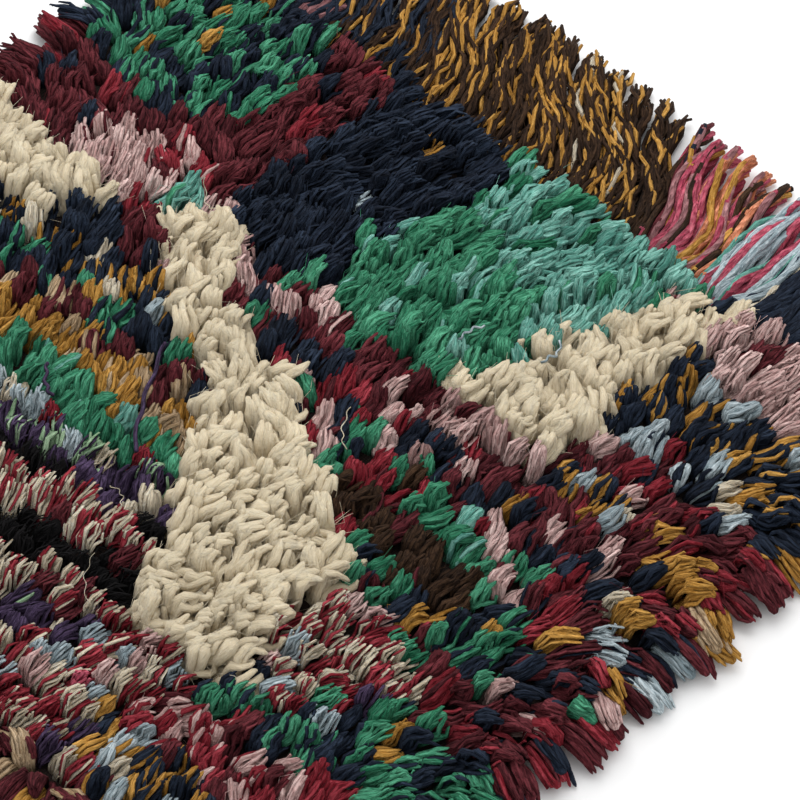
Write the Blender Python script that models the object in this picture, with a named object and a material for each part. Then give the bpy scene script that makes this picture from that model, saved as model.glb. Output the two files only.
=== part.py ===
"""A cut length of thick hand-knotted shag rug, with a long knotted fringe at one end.

The rug lies flat, in metres, +Z up. X runs along the rows of knots and +Y towards the fringed end.
The origin is on the surface that the rug lies on, at the middle of its footprint.

rug_body is the woven ground with its pile: a lumpy slab whose rim grows locks that droop to the floor.
end_fringe is a narrow strip at the woven end that carries the free strands, each with its knot.
"""

import math
import random
from collections import namedtuple

import bmesh
import bpy
from mathutils import Vector

# Size of the woven ground and of the grid that its pile surface is made on
WEAVE_WIDTH = 0.92
WEAVE_LENGTH = 0.80
CELL = 0.020
COLUMNS = round(WEAVE_WIDTH / CELL)
ROWS = round(WEAVE_LENGTH / CELL)

# Heights over the floor
WEAVE_TOP = 0.009
RIM_TOP = 0.020
VALLEY = 0.0195
CREST_RISE = 0.0045
LUMP_RISE = 0.0065
UNEVEN = 0.0015

# How the pile leans: crests lie over towards the fringed end, and the last row hangs over the end
CREST_LEAN = 0.005
END_OVERHANG = 0.016
SIDEWAYS_JITTER = 0.003

# Locks at the rim
LOCK_REACH = 0.032
LOCK_SHORTEST = 0.70
LOCK_WIDTH = 0.0155
LOCK_INSET = 0.0015
LOCK_DRIFT = 0.0020

# Fringe
SEAM_GAP = 0.0003
STRIP_DEPTH = 0.010
STRIP_HEIGHT = 0.007
STRANDS = 76
STRAND_WIDTH = 0.0078
STRAND_INSET = 0.0006
FRINGE_REACH = 0.158
FRINGE_SHORTEST = 0.90
SIDE_LEAN = 0.010
FAN_DRIFT = 0.014
WAVE_DRIFT = 0.012
WAVES = 3.0
STRAND_JITTER = 0.0012

# A station is one cross-section along a lock or strand: shares of its reach and of its width,
# and the heights of its underside and top over the floor
Station = namedtuple("Station", "reach low high width")
LOCK_STATIONS = (
    Station(0.38, 0.0045, 0.0150, 1.00),
    Station(0.72, 0.0, 0.0095, 0.85),
    Station(1.00, 0.0, 0.0040, 0.50),
)
STRAND_STATIONS = (
    Station(0.05, 0.0, 0.0110, 1.25),
    Station(0.11, 0.0, 0.0085, 1.00),
    Station(0.55, 0.0, 0.0095, 1.00),
    Station(1.00, 0.0, 0.0055, 0.65),
)

PILE_COLOUR = (0.66, 0.58, 0.44, 1.0)
FRINGE_COLOUR = (0.48, 0.12, 0.18, 1.0)
YARN_ROUGHNESS = 0.95


def clear_scene():
    """Removes every object that the scene starts with."""
    for thing in list(bpy.data.objects):
        bpy.data.objects.remove(thing)


def yarn_material(name, colour):
    """A dull woollen finish of one colour."""
    material = bpy.data.materials.new(name)
    material.use_nodes = True
    shader = material.node_tree.nodes["Principled BSDF"]
    shader.inputs["Base Color"].default_value = colour
    shader.inputs["Roughness"].default_value = YARN_ROUGHNESS
    shader.inputs["Metallic"].default_value = 0.0
    return material


def finished_object(name, bm, material):
    """Turns a bmesh into a named object with its material."""
    bmesh.ops.recalc_face_normals(bm, faces=bm.faces)
    mesh = bpy.data.meshes.new(name)
    bm.to_mesh(mesh)
    bm.free()
    mesh.materials.append(material)
    thing = bpy.data.objects.new(name, mesh)
    bpy.context.scene.collection.objects.link(thing)
    return thing


def pile_point(column, row, dice):
    """Where one point of the pile surface stands: crests every other row, lumps staggered along them."""
    x = column * CELL - WEAVE_WIDTH / 2
    y = row * CELL - WEAVE_LENGTH / 2
    inner = 0 < column < COLUMNS and 0 < row < ROWS
    if not inner:
        overhang = END_OVERHANG if row == ROWS else 0.0
        return Vector((x, y + overhang, RIM_TOP))
    crest = row % 2
    lump = (column + row // 2) % 2
    height = VALLEY + crest * (CREST_RISE + lump * LUMP_RISE)
    jitter = dice.uniform(-SIDEWAYS_JITTER, SIDEWAYS_JITTER)
    lean = crest * CREST_LEAN + dice.uniform(-SIDEWAYS_JITTER, SIDEWAYS_JITTER)
    return Vector((x + jitter, y + lean, height + dice.uniform(-UNEVEN, UNEVEN)))


def extend_rim(bm, edges, height, straighten):
    """Extrudes a loop of rim edges down to a height and returns the new loop's edges and the wall faces."""
    made = bmesh.ops.extrude_edge_only(bm, edges=edges)["geom"]
    for vertex in (part for part in made if isinstance(part, bmesh.types.BMVert)):
        vertex.co.z = height
        if straighten:
            vertex.co.y = min(vertex.co.y, WEAVE_LENGTH / 2)
    walls = [part for part in made if isinstance(part, bmesh.types.BMFace)]
    loop = [
        part
        for part in made
        if isinstance(part, bmesh.types.BMEdge) and len(part.link_faces) == 1
    ]
    return loop, walls


def outward_of(face):
    """Which way a wall face looks, along X or Y, away from the middle of the rug."""
    centre = face.calc_center_median()
    if abs(abs(centre.x) - WEAVE_WIDTH / 2) < CELL / 4:
        return Vector((math.copysign(1.0, centre.x), 0.0, 0.0))
    return Vector((0.0, math.copysign(1.0, centre.y), 0.0))


def grow(bm, face, outward, stations, reach, width, drift):
    """Grows a four-sided lock or strand out of a wall face, through its stations.

    drift is how far the tip lies to the side, and the stations share it by the square of their reach.
    """
    root = face.calc_center_median()
    sideways = Vector((-outward.y, outward.x, 0.0))
    for station in stations:
        face = bmesh.ops.extrude_discrete_faces(bm, faces=[face])["faces"][0]
        middle = face.calc_center_median()
        centre = root + outward * (reach * station.reach)
        centre += sideways * (drift * station.reach**2)
        for vertex in face.verts:
            side = math.copysign(0.5, (vertex.co - middle).dot(sideways))
            height = station.high if vertex.co.z > middle.z else station.low
            spot = centre + sideways * (side * width * station.width)
            vertex.co = Vector((spot.x, spot.y, height))


def grow_rim_locks(bm, walls, dice):
    """Grows one lock out of each upper wall face on the three sides that have no fringe."""
    bare_sides = [face for face in walls if outward_of(face).y < 0.5]
    bare_sides.sort(key=lambda face: tuple(face.calc_center_median()))
    bmesh.ops.inset_individual(bm, faces=bare_sides, thickness=LOCK_INSET, use_even_offset=True)
    for index, face in enumerate(bare_sides):
        share = 1.0 if index % 9 == 0 else dice.uniform(LOCK_SHORTEST, 1.0)
        drift = dice.uniform(-LOCK_DRIFT, LOCK_DRIFT)
        outward = outward_of(face)
        grow(bm, face, outward, LOCK_STATIONS, LOCK_REACH * share, LOCK_WIDTH, drift)


def close_underside(bm, loop):
    """Closes the flat underside with strips from the near end to the far end."""
    near = [edge for edge in loop if all(v.co.y < 0.001 - WEAVE_LENGTH / 2 for v in edge.verts)]
    far = [edge for edge in loop if all(v.co.y > WEAVE_LENGTH / 2 - 0.001 for v in edge.verts)]
    bmesh.ops.bridge_loops(bm, edges=near + far)
    side_edges = [edge for edge in bm.edges if len(edge.link_faces) == 1]
    bmesh.ops.holes_fill(bm, edges=side_edges, sides=0)


def make_rug_body():
    """The woven ground and its pile, as one lumpy slab with locks at its rim."""
    dice = random.Random(11)
    bm = bmesh.new()
    bmesh.ops.create_grid(bm, x_segments=COLUMNS, y_segments=ROWS, size=0.5)
    for vertex in bm.verts:
        column = round((vertex.co.x + 0.5) * COLUMNS)
        row = round((vertex.co.y + 0.5) * ROWS)
        vertex.co = pile_point(column, row, dice)
    rim = [edge for edge in bm.edges if edge.is_boundary]
    waist, upper_walls = extend_rim(bm, rim, WEAVE_TOP, straighten=True)
    base, _ = extend_rim(bm, waist, 0.0, straighten=False)
    close_underside(bm, base)
    grow_rim_locks(bm, upper_walls, dice)
    return finished_object("rug_body", bm, yarn_material("pile", PILE_COLOUR))


def strand_drift(x):
    """How far the tip of the strand rooted at x lies towards -X: a common lean, a fan and a slow wave."""
    share = x / (WEAVE_WIDTH / 2)
    wave = math.sin(share * math.pi * WAVES / 2)
    return SIDE_LEAN - FAN_DRIFT * share - WAVE_DRIFT * wave


def make_end_fringe():
    """The strip at the woven end with its knotted strands, which rest on the floor along their length."""
    dice = random.Random(29)
    bm = bmesh.new()
    bmesh.ops.create_cube(bm, size=1.0)
    bmesh.ops.scale(bm, verts=bm.verts, vec=(WEAVE_WIDTH, STRIP_DEPTH, STRIP_HEIGHT))
    start = WEAVE_LENGTH / 2 + SEAM_GAP
    centre = (0.0, start + STRIP_DEPTH / 2, STRIP_HEIGHT / 2)
    bmesh.ops.translate(bm, verts=bm.verts, vec=centre)
    long_edges = [edge for edge in bm.edges if edge.calc_length() > WEAVE_WIDTH / 2]
    bmesh.ops.subdivide_edges(bm, edges=long_edges, cuts=STRANDS - 1, use_grid_fill=True)
    front = [face for face in bm.faces if face.calc_center_median().y > start + STRIP_DEPTH * 0.9]
    front.sort(key=lambda face: face.calc_center_median().x)
    bmesh.ops.inset_individual(bm, faces=front, thickness=STRAND_INSET, use_even_offset=True)
    for index, face in enumerate(front):
        share = 1.0 if index % 7 == 0 else dice.uniform(FRINGE_SHORTEST, 1.0)
        reach = (FRINGE_REACH - SEAM_GAP - STRIP_DEPTH) * share
        drift = strand_drift(face.calc_center_median().x)
        drift += dice.uniform(-STRAND_JITTER, STRAND_JITTER)
        grow(bm, face, Vector((0.0, 1.0, 0.0)), STRAND_STATIONS, reach, STRAND_WIDTH, drift)
    return finished_object("end_fringe", bm, yarn_material("fringe", FRINGE_COLOUR))


def centre_on_footprint(things):
    """Moves the meshes so that the origin is at the middle of their common footprint, on the floor."""
    points = [vertex.co for thing in things for vertex in thing.data.vertices]
    middle_x = (min(p.x for p in points) + max(p.x for p in points)) / 2
    middle_y = (min(p.y for p in points) + max(p.y for p in points)) / 2
    for thing in things:
        for vertex in thing.data.vertices:
            vertex.co.x -= middle_x
            vertex.co.y -= middle_y


clear_scene()
rug_body = make_rug_body()
end_fringe = make_end_fringe()
centre_on_footprint([rug_body, end_fringe])
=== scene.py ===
"""The looks of a thick hand-knotted shag rug with a long knotted fringe at one end.

The rug is dressed as it is made. A plain woven ground lies flat on the floor. Row by row, from the
fringed end to the near end, tufts of dyed wool are knotted into it, and each strand comes to rest on
what lies below it. Which yarns a knot takes comes from a short plan of colour patches, and which way
it leans comes from a short list of combed spots. The fringe bundles are knotted close to the weave.

Places in the plan's tables are centimetres from the middle of the woven ground, with X along the
rows of knots and Y towards the fringed end. Everything else is in metres.
"""

import logging
import math
import random
from dataclasses import dataclass, field, replace
from enum import Enum
from typing import ClassVar

import bmesh
import bpy
import numpy as np
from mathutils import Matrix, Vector, noise


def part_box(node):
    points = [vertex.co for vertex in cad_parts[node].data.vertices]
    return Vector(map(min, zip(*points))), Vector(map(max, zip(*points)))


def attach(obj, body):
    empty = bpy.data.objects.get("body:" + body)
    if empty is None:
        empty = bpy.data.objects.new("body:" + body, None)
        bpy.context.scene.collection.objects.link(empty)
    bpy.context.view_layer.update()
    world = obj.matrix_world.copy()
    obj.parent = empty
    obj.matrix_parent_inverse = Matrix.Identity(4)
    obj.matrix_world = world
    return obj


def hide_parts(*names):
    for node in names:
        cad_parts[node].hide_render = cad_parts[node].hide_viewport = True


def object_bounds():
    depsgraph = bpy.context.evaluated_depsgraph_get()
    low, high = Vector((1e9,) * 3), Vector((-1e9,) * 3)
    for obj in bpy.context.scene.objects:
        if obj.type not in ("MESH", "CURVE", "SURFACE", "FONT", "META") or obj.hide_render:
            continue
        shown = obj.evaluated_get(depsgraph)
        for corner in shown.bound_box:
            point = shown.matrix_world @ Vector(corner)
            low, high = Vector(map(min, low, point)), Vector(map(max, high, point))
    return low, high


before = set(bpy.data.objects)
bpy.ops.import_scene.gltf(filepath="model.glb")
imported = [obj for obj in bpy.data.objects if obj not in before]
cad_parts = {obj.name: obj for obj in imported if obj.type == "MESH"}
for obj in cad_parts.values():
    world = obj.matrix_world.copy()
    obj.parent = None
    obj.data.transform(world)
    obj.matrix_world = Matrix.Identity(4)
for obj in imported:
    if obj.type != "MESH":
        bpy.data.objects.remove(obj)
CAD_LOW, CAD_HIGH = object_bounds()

logging.basicConfig(level=logging.INFO, format="%(message)s")
LOG = logging.getLogger("rug")

CM = 0.01
BODY = "root"
YARN_RUN = "yarn_run"
TONE = "tone"
ALONG = "along"
BAKE_MAP = "OFBake"
HAIR_RADIUS = 0.00022

Point = tuple[float, float]
Place = tuple[float, float, float]
Colour = tuple[float, float, float]
Socket = bpy.types.NodeSocket
Strand = tuple[np.ndarray, np.ndarray, float, float]


class Yarn(Enum):
    """The yarns of the rug. Each value is the end of its material slot's name."""

    CREAM = "cream"
    IVORY = "ivory"
    NAVY = "navy"
    GREEN = "green"
    TEAL = "teal"
    MAROON = "maroon"
    RED = "red"
    ROSE = "rose"
    PINK = "pink"
    CORAL = "coral"
    MAUVE = "mauve"
    GOLD = "gold"
    TAN = "tan"
    BROWN = "brown"
    BLACK = "black"
    PURPLE = "purple"
    SKY = "sky"
    MINT = "mint"


class Part(Enum):
    """Which sub-assembly a strand belongs to. The value starts its piece's name."""

    PILE = "pile"
    FRINGE = "fringe"


class Graph:
    """A material's node tree, with short ways to add nodes and join them."""

    def __init__(self, name: str) -> None:
        """Starts a material with its plain shader."""
        self.material = bpy.data.materials.new(name)
        self.material.use_nodes = True
        self.tree = self.material.node_tree
        self.shader = self.tree.nodes["Principled BSDF"]

    def feed(self, node: bpy.types.Node, inputs: dict) -> None:
        """Sets a node's inputs.

        Args:
            node: the node.
            inputs: for each input's name or number, a value, or the socket to join to it.
        """
        for name, value in inputs.items():
            if isinstance(value, Socket):
                self.tree.links.new(value, node.inputs[name])
            else:
                node.inputs[name].default_value = value

    def add(self, kind: str, output: str, inputs: dict, **options: str) -> Socket:
        """Adds a node.

        Args:
            kind: the node's type, without its common start.
            output: the output to give back.
            inputs: what to feed it, as for feed.
            options: its own settings.

        Returns:
            The named output.
        """
        node = self.tree.nodes.new(f"ShaderNode{kind}")
        for name, value in options.items():
            setattr(node, name, value)
        self.feed(node, inputs)
        return node.outputs[output]

    def line(self, value: Socket, slope: Socket | float, start: Socket | float) -> Socket:
        """Gives a value times a slope, plus a start."""
        return self.add("Math", "Value", {0: value, 1: slope, 2: start}, operation="MULTIPLY_ADD")

    def ramp(self, value: Socket, low: float, high: float, start: float, end: float) -> Socket:
        """Carries a value from low to high over to start to end."""
        inputs = {"Value": value, "From Min": low, "From Max": high, "To Min": start, "To Max": end}
        return self.add("MapRange", "Result", inputs)

    def product(self, *factors: Socket) -> Socket:
        """Multiplies several values.

        Args:
            factors: the values.

        Returns:
            Their product.
        """
        result = factors[0]
        for factor in factors[1:]:
            result = self.add("Math", "Value", {0: result, 1: factor}, operation="MULTIPLY")
        return result

    def between(self, share: Socket, first: Colour, second: Colour) -> Socket:
        """Gives the colour a share of the way from the first to the second."""
        inputs = {"Factor": share, "A": (*first, 1.0), "B": (*second, 1.0)}
        return self.add("Mix", "Result", inputs, data_type="RGBA")


@dataclass(frozen=True)
class YarnFinish:
    """A dyed woollen yarn: felted, matt, with painted shade at its root, streaked along its fibres and
    unevenly faded.

    dye is the linear colour, pale the colour of its lighter fibres, root_painted_shade how dark the
    painted shade at its root is, streak how strongly the fibres differ, fibres how many show on a fine
    strand, plies and turns how many grooves wind round such a strand and how often in a metre,
    groove_and_painted_shade how dark the painted shade in those grooves is, which also sets how deep
    their bump is, crease_painted_shade how dark the painted shade between fibres is, nap how soft and
    light its edges look, bump how rough it is, and glow how much light passes through it.

    The FIBRE values are those of the streaks along a strand, FLECK of the fine specks, FADE of the
    slow fading over the rug and GROOVE of the grooves between plies. TONE_SHARE is how far a light
    strand goes over to the pale colour.
    """

    FIBRE_SCALE: ClassVar[float] = 1.6
    FIBRE_STRETCH: ClassVar[float] = 60.0
    FIBRE_SWIRL: ClassVar[float] = 0.5
    FLECK_SCALE: ClassVar[float] = 620.0
    FLECK_SHARE: ClassVar[float] = 0.7
    FADE_SCALE: ClassVar[float] = 16.0
    TONE_SHARE: ClassVar[float] = 1.3
    GROOVE_SWAY: ClassVar[float] = 1.6
    GROOVE_DEPTH: ClassVar[float] = 4.0
    BUMP_HEIGHT: ClassVar[float] = 0.002
    GLOW_REACH: ClassVar[float] = 0.002

    dye: Colour
    pale: Colour
    # Painted shade: how dark the colour is made at the root, down in the pile.
    root_painted_shade: float = 0.8
    streak: float = 0.85
    fibres: float = 4.0
    plies: float = 4.0
    turns: float = 22.0
    # Painted shade in the grooves between plies: how dark the colour is made there; it also sets how deep
    # their bump is.
    groove_and_painted_shade: float = 0.72
    # Painted shade between fibres: how dark the colour is made where the fibre noise is low.
    crease_painted_shade: float = 0.60
    nap: float = 0.15
    bump: float = 0.9
    glow: float = 0.0

    def make(self, yarn: Yarn) -> bpy.types.Material:
        """Builds the material.

        Args:
            yarn: the yarn that it is for, which names it.

        Returns:
            The material, which reads the strand's own map and its tone and along attributes.
        """
        graph = Graph(f"wool_{yarn.value}")
        run = graph.add("UVMap", "UV", {}, uv_map=YARN_RUN)
        place = graph.add("TexCoord", "Object", {})
        tone = graph.add("Attribute", "Fac", {}, attribute_name=TONE)
        along = graph.add("Attribute", "Fac", {}, attribute_name=ALONG)
        stretched = self.scaled(graph, run, self.fibres, self.FIBRE_STRETCH)
        fibre = self.noise(graph, stretched, self.FIBRE_SCALE, self.FIBRE_SWIRL)
        fleck = self.noise(graph, place, self.FLECK_SCALE, 0.0)
        fade = self.noise(graph, place, self.FADE_SCALE, 0.0)
        groove_and_painted_shade = self.winding(graph, run, fibre)

        streaks = graph.ramp(fibre, 0.36, 0.66, 0.0, self.streak)
        lift = graph.line(tone, self.TONE_SHARE, -self.TONE_SHARE)
        flecks = graph.line(fleck, self.FLECK_SHARE, -self.FLECK_SHARE / 2)
        share = graph.add("Math", "Value", {0: streaks, 1: lift}, operation="ADD")
        share = graph.add("Math", "Value", {0: share, 1: flecks}, operation="ADD", use_clamp=True)
        colour = graph.between(share, self.dye, self.pale)
        # Brightness factor: the strand's random tone and the uneven fading, times painted shade at the
        # root, in the grooves between plies and between fibres.
        shade = graph.product(
            tone,
            # Painted shade: darker towards the strand's root, down in the pile.
            graph.ramp(along, 0.02, 0.55, self.root_painted_shade, 1.0),
            # Painted shade: darker in the grooves between plies.
            graph.ramp(groove_and_painted_shade, 0.0, 0.5, self.groove_and_painted_shade, 1.05),
            # Painted shade: darker where the fibre noise is low, between fibres.
            graph.ramp(fibre, 0.28, 0.50, self.crease_painted_shade, 1.0),
            graph.ramp(fade, 0.3, 0.7, 0.86, 1.12),
        )
        tinted = graph.add("VectorMath", "Vector", {0: colour, "Scale": shade}, operation="SCALE")
        rough = graph.line(fleck, 0.6, fibre)
        height = graph.line(groove_and_painted_shade, self.GROOVE_DEPTH * (1.0 - self.groove_and_painted_shade), rough)
        inputs = {"Strength": self.bump, "Distance": self.BUMP_HEIGHT, "Height": height}
        graph.feed(
            graph.shader,
            {
                "Base Color": tinted,
                "Normal": graph.add("Bump", "Normal", inputs),
                "Roughness": 0.92,
                "Specular IOR Level": 0.15,
                "Sheen Weight": self.nap,
                "Sheen Roughness": 0.6,
                "Sheen Tint": (*self.pale, 1.0),
                "Subsurface Weight": self.glow,
                "Subsurface Radius": (1.0, 0.85, 0.65),
                "Subsurface Scale": self.GLOW_REACH,
            },
        )
        return graph.material

    def scaled(self, graph: Graph, run: Socket, round_it: float, along: float) -> Socket:
        """Stretches the strand's own map, round it and along it."""
        return graph.add("Mapping", "Vector", {"Vector": run, "Scale": (round_it, along, 1.0)})

    def noise(self, graph: Graph, vector: Socket, scale: float, swirl: float) -> Socket:
        """Adds a soft noise of some scale and swirl."""
        inputs = {"Vector": vector, "Scale": scale, "Detail": 2.5, "Roughness": 0.6, "Distortion": swirl}
        return graph.add("TexNoise", "Fac", inputs)

    def winding(self, graph: Graph, run: Socket, fibre: Socket) -> Socket:
        """Adds the grooves between plies, which wind round the strand.

        Args:
            graph: the finish's nodes.
            run: the strand's own map.
            fibre: the fibre noise, which makes the grooves sway.

        Returns:
            Zero at the bottom of the grooves, rising to a half midway between two grooves.
        """
        parts = graph.tree.nodes.new("ShaderNodeSeparateXYZ")
        graph.feed(parts, {"Vector": self.scaled(graph, run, self.plies, self.turns)})
        turn = graph.add("Math", "Value", {0: parts.outputs["X"], 1: parts.outputs["Y"]}, operation="ADD")
        swayed = graph.line(fibre, self.GROOVE_SWAY, turn)
        return graph.add("Math", "Value", {0: swayed, 1: 0.5}, operation="PINGPONG")


def two_ply(dye: Colour, pale: Colour) -> YarnFinish:
    """Gives the finish of a soft yarn of two plies."""
    return YarnFinish(dye, pale, 0.6, plies=2.0, turns=60.0, groove_and_painted_shade=0.55, bump=0.8)


FINISHES: dict[Yarn, YarnFinish] = {
    Yarn.CREAM: YarnFinish(
        (0.63, 0.53, 0.365), (0.78, 0.69, 0.52), 0.95, 0.6, 6.5, groove_and_painted_shade=1.0, crease_painted_shade=0.90, nap=0.30,
        bump=0.9, glow=0.25,
    ),
    Yarn.IVORY: YarnFinish((0.60, 0.50, 0.36), (0.76, 0.69, 0.55), 0.9, glow=0.4),
    Yarn.NAVY: YarnFinish((0.006, 0.010, 0.022), (0.030, 0.045, 0.076), 0.7, nap=0.06),
    Yarn.GREEN: YarnFinish((0.018, 0.195, 0.095), (0.12, 0.43, 0.26)),
    Yarn.TEAL: YarnFinish((0.105, 0.40, 0.315), (0.34, 0.65, 0.56)),
    Yarn.MAROON: YarnFinish((0.065, 0.008, 0.013), (0.21, 0.042, 0.052), 0.7, nap=0.08),
    Yarn.RED: YarnFinish((0.22, 0.008, 0.018), (0.42, 0.06, 0.08), 0.7),
    Yarn.ROSE: YarnFinish((0.58, 0.32, 0.30), (0.85, 0.63, 0.59), 0.9),
    Yarn.PINK: two_ply((0.52, 0.055, 0.115), (0.72, 0.19, 0.25)),
    Yarn.CORAL: two_ply((0.70, 0.19, 0.08), (0.86, 0.38, 0.23)),
    Yarn.MAUVE: two_ply((0.30, 0.115, 0.125), (0.50, 0.25, 0.26)),
    Yarn.GOLD: YarnFinish((0.43, 0.19, 0.025), (0.69, 0.385, 0.100)),
    Yarn.TAN: YarnFinish((0.46, 0.30, 0.16), (0.66, 0.50, 0.33)),
    Yarn.BROWN: YarnFinish((0.020, 0.009, 0.005), (0.080, 0.042, 0.022), nap=0.06),
    Yarn.BLACK: YarnFinish((0.0025, 0.0025, 0.003), (0.012, 0.010, 0.011), nap=0.02),
    Yarn.PURPLE: YarnFinish((0.030, 0.017, 0.045), (0.12, 0.080, 0.16), nap=0.08),
    Yarn.SKY: YarnFinish((0.34, 0.45, 0.50), (0.64, 0.72, 0.75)),
    Yarn.MINT: YarnFinish((0.24, 0.43, 0.23), (0.50, 0.66, 0.45)),
}


@dataclass(frozen=True)
class Cut:
    """How a tuft is spun and cut.

    strands is how many a knot takes, radius half a strand's thickness, shortest and longest its
    length, and fan how far the outer strands open at the root, in radians. wander is how much the
    whole tuft snakes and stray how much each strand does so by itself. lift, drop and curl are how
    steeply a strand leaves the ground, comes down again and ends, in degrees. tip is the share of its
    thickness that is left at its end and taper the share of its length where it starts to thin.
    uneven is how much its thickness varies, flat its height beside its width, sunk the share of its
    radius that its middle keeps over what it rests on, crown how much shorter the outer strands are,
    spread how far apart their roots are, and tone_swing how much tufts differ in lightness. bed is
    the radius of the lock of matted wool inside the tuft, hairs how many loose fibres stand out of it
    and reach a strand's length beside the tuft's. sides and rings are the faces round a strand and
    along it.
    """

    strands: int
    radius: float
    shortest: float
    longest: float
    fan: float = 0.45
    wander: float = 0.25
    stray: float = 0.10
    lift: float = 66.0
    drop: float = -30.0
    curl: float = -62.0
    tip: float = 0.40
    taper: float = 0.70
    uneven: float = 0.10
    flat: float = 1.0
    sunk: float = 0.35
    crown: float = 0.16
    spread: float = 0.005
    tone_swing: float = 0.09
    bed: float = 0.0076
    hairs: int = 1
    reach: float = 1.0
    sides: int = 4
    rings: int = 8

    def matted_bed(self) -> "Cut":
        """Gives the cut of the one thick lock of matted wool inside the tuft."""
        return replace(
            self, strands=1, radius=self.bed, reach=0.88, fan=0.0, stray=0.04, tip=0.35, taper=0.60,
            uneven=0.10, flat=0.56, sunk=0.25, crown=0.0, sides=6, rings=5,
        )

    def loose_hairs(self) -> "Cut":
        """Gives the cut of the loose fibres that stand out of the tuft."""
        return replace(
            self, strands=self.hairs, radius=HAIR_RADIUS, reach=1.06, fan=1.0, stray=0.7, uneven=0.0,
            flat=1.0, sides=3, rings=5,
        )


FINE = Cut(
    7, 0.0019, 0.042, 0.054, fan=0.30, wander=0.30, flat=0.85, sunk=0.10, crown=0.22, spread=0.0066,
    bed=0.0084, sides=3, rings=6,
)
MATTED = Cut(
    6, 0.0028, 0.036, 0.048, fan=0.42, wander=0.42, stray=0.20, curl=-60.0, tip=0.24, taper=0.50,
    uneven=0.16, flat=0.62, sunk=0.30, crown=0.25, spread=0.0062, bed=0.0080, rings=6,
)
LOBED = Cut(
    5, 0.0034, 0.042, 0.056, fan=0.34, wander=0.40, stray=0.18, drop=-24.0, curl=-52.0, tip=0.30,
    taper=0.50, uneven=0.16, flat=0.60, sunk=0.25, crown=0.24, spread=0.0066, bed=0.0092, rings=7,
)
LEAFY = Cut(
    6, 0.0034, 0.036, 0.050, fan=0.55, wander=0.28, stray=0.14, drop=-22.0, curl=-44.0, tip=0.12,
    taper=0.45, flat=0.50, sunk=0.60, bed=0.0070, hairs=0, rings=7,
)
LOOSE = Cut(
    11, 0.0019, 0.034, 0.048, fan=0.62, wander=0.14, stray=0.13, lift=70.0, drop=-14.0, curl=-34.0,
    tip=0.30, taper=0.55, spread=0.0064, bed=0.0046, hairs=0, sides=3, rings=6,
)
CURLY = Cut(
    11, 0.0014, 0.036, 0.052, fan=0.75, wander=0.45, stray=0.42, lift=74.0, drop=-10.0, curl=-40.0,
    tip=0.45, spread=0.0064, bed=0.0062, hairs=0, sides=3,
)
WIRY = Cut(
    14, 0.0009, 0.030, 0.046, fan=1.0, wander=0.4, stray=0.5, bed=0.0080, hairs=0, sides=3, rings=6
)
ROVING = Cut(
    4, 0.0052, 0.046, 0.062, fan=0.34, wander=0.60, stray=0.30, lift=54.0, drop=-12.0, curl=-36.0,
    tip=0.32, taper=0.50, uneven=0.18, flat=0.60, sunk=0.20, crown=0.14, spread=0.0076,
    tone_swing=0.02, bed=0.0100, hairs=5, sides=6,
)
RIM = Cut(
    7, 0.0028, 0.060, 0.076, fan=0.30, wander=0.12, stray=0.07, lift=46.0, drop=-36.0, curl=-58.0,
    tip=0.20, taper=0.55, uneven=0.06, flat=0.80, bed=0.0074, hairs=0,
)


@dataclass(frozen=True)
class Blend:
    """What the tufts of a patch are knotted from.

    shares gives each yarn and its share of the knots. mingled is the chance that a strand takes the
    other of the first two yarns, in a tuft of one of these. The fringe goes by the shares alone.
    """

    shares: tuple[tuple[Yarn, float], ...]
    cut: Cut
    mingled: float

    def pick(self, dice: random.Random) -> Yarn:
        """Draws one yarn by the shares."""
        yarns = [yarn for yarn, _ in self.shares]
        return dice.choices(yarns, [share for _, share in self.shares])[0]

    def mingle(self, tuft_yarn: Yarn, dice: random.Random) -> Yarn:
        """Draws one strand's yarn for a tuft.

        Args:
            tuft_yarn: the yarn that the tuft is mainly of.
            dice: where the draw comes from.

        Returns:
            The tuft's yarn, or now and then the other main yarn of the blend.
        """
        main = [yarn for yarn, _ in self.shares[:2]]
        if tuft_yarn in main and dice.random() < self.mingled:
            return dice.choice(main)
        return tuft_yarn


def mix(cut: Cut, mingled: float = 0.0, **shares: float) -> Blend:
    """Gives the blend of some yarns, each by its name with its share of the knots."""
    return Blend(tuple((Yarn(name), share) for name, share in shares.items()), cut, mingled)


CREAM = mix(ROVING, cream=1.0)
NAVY = mix(FINE, navy=0.985, gold=0.015)
NAVY_GOLD = mix(LEAFY, 0.6, navy=0.50, gold=0.26, sky=0.15, ivory=0.09)
NAVY_GOLD_FINE = mix(LEAFY, 0.5, navy=0.82, gold=0.10, sky=0.08)
NAVY_GREEN = mix(LEAFY, 0.25, green=0.55, navy=0.40, gold=0.05)
GREEN = mix(LOBED, 0.06, green=0.88, teal=0.12)
TEAL = mix(LOBED, 0.04, teal=0.92, green=0.08)
MAROON = mix(MATTED, 0.08, maroon=0.90, red=0.07, navy=0.03)
MAROON_MIX = mix(MATTED, 0.25, maroon=0.66, red=0.15, rose=0.04, navy=0.08, gold=0.07)
MAROON_TAN = mix(LEAFY, 0.2, maroon=0.62, tan=0.26, gold=0.12)
RED = mix(LEAFY, 0.1, red=0.85, maroon=0.15)
MID_MIX = mix(LEAFY, 0.1, navy=0.44, maroon=0.24, rose=0.16, red=0.10, green=0.06)
RED_ROSE = mix(MATTED, 0.3, red=0.5, rose=0.35, maroon=0.15)
ROSE = mix(FINE, 0.06, rose=0.92, maroon=0.08)
SKY = mix(LEAFY, 0.3, sky=0.66, navy=0.22, ivory=0.12)
GOLD = mix(LEAFY, 0.08, gold=0.88, tan=0.12)
BROWN = mix(MATTED, 0.05, brown=0.93, maroon=0.07)
PURPLE = mix(MATTED, 0.1, purple=0.76, mint=0.11, sky=0.05, maroon=0.05, ivory=0.03)
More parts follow.
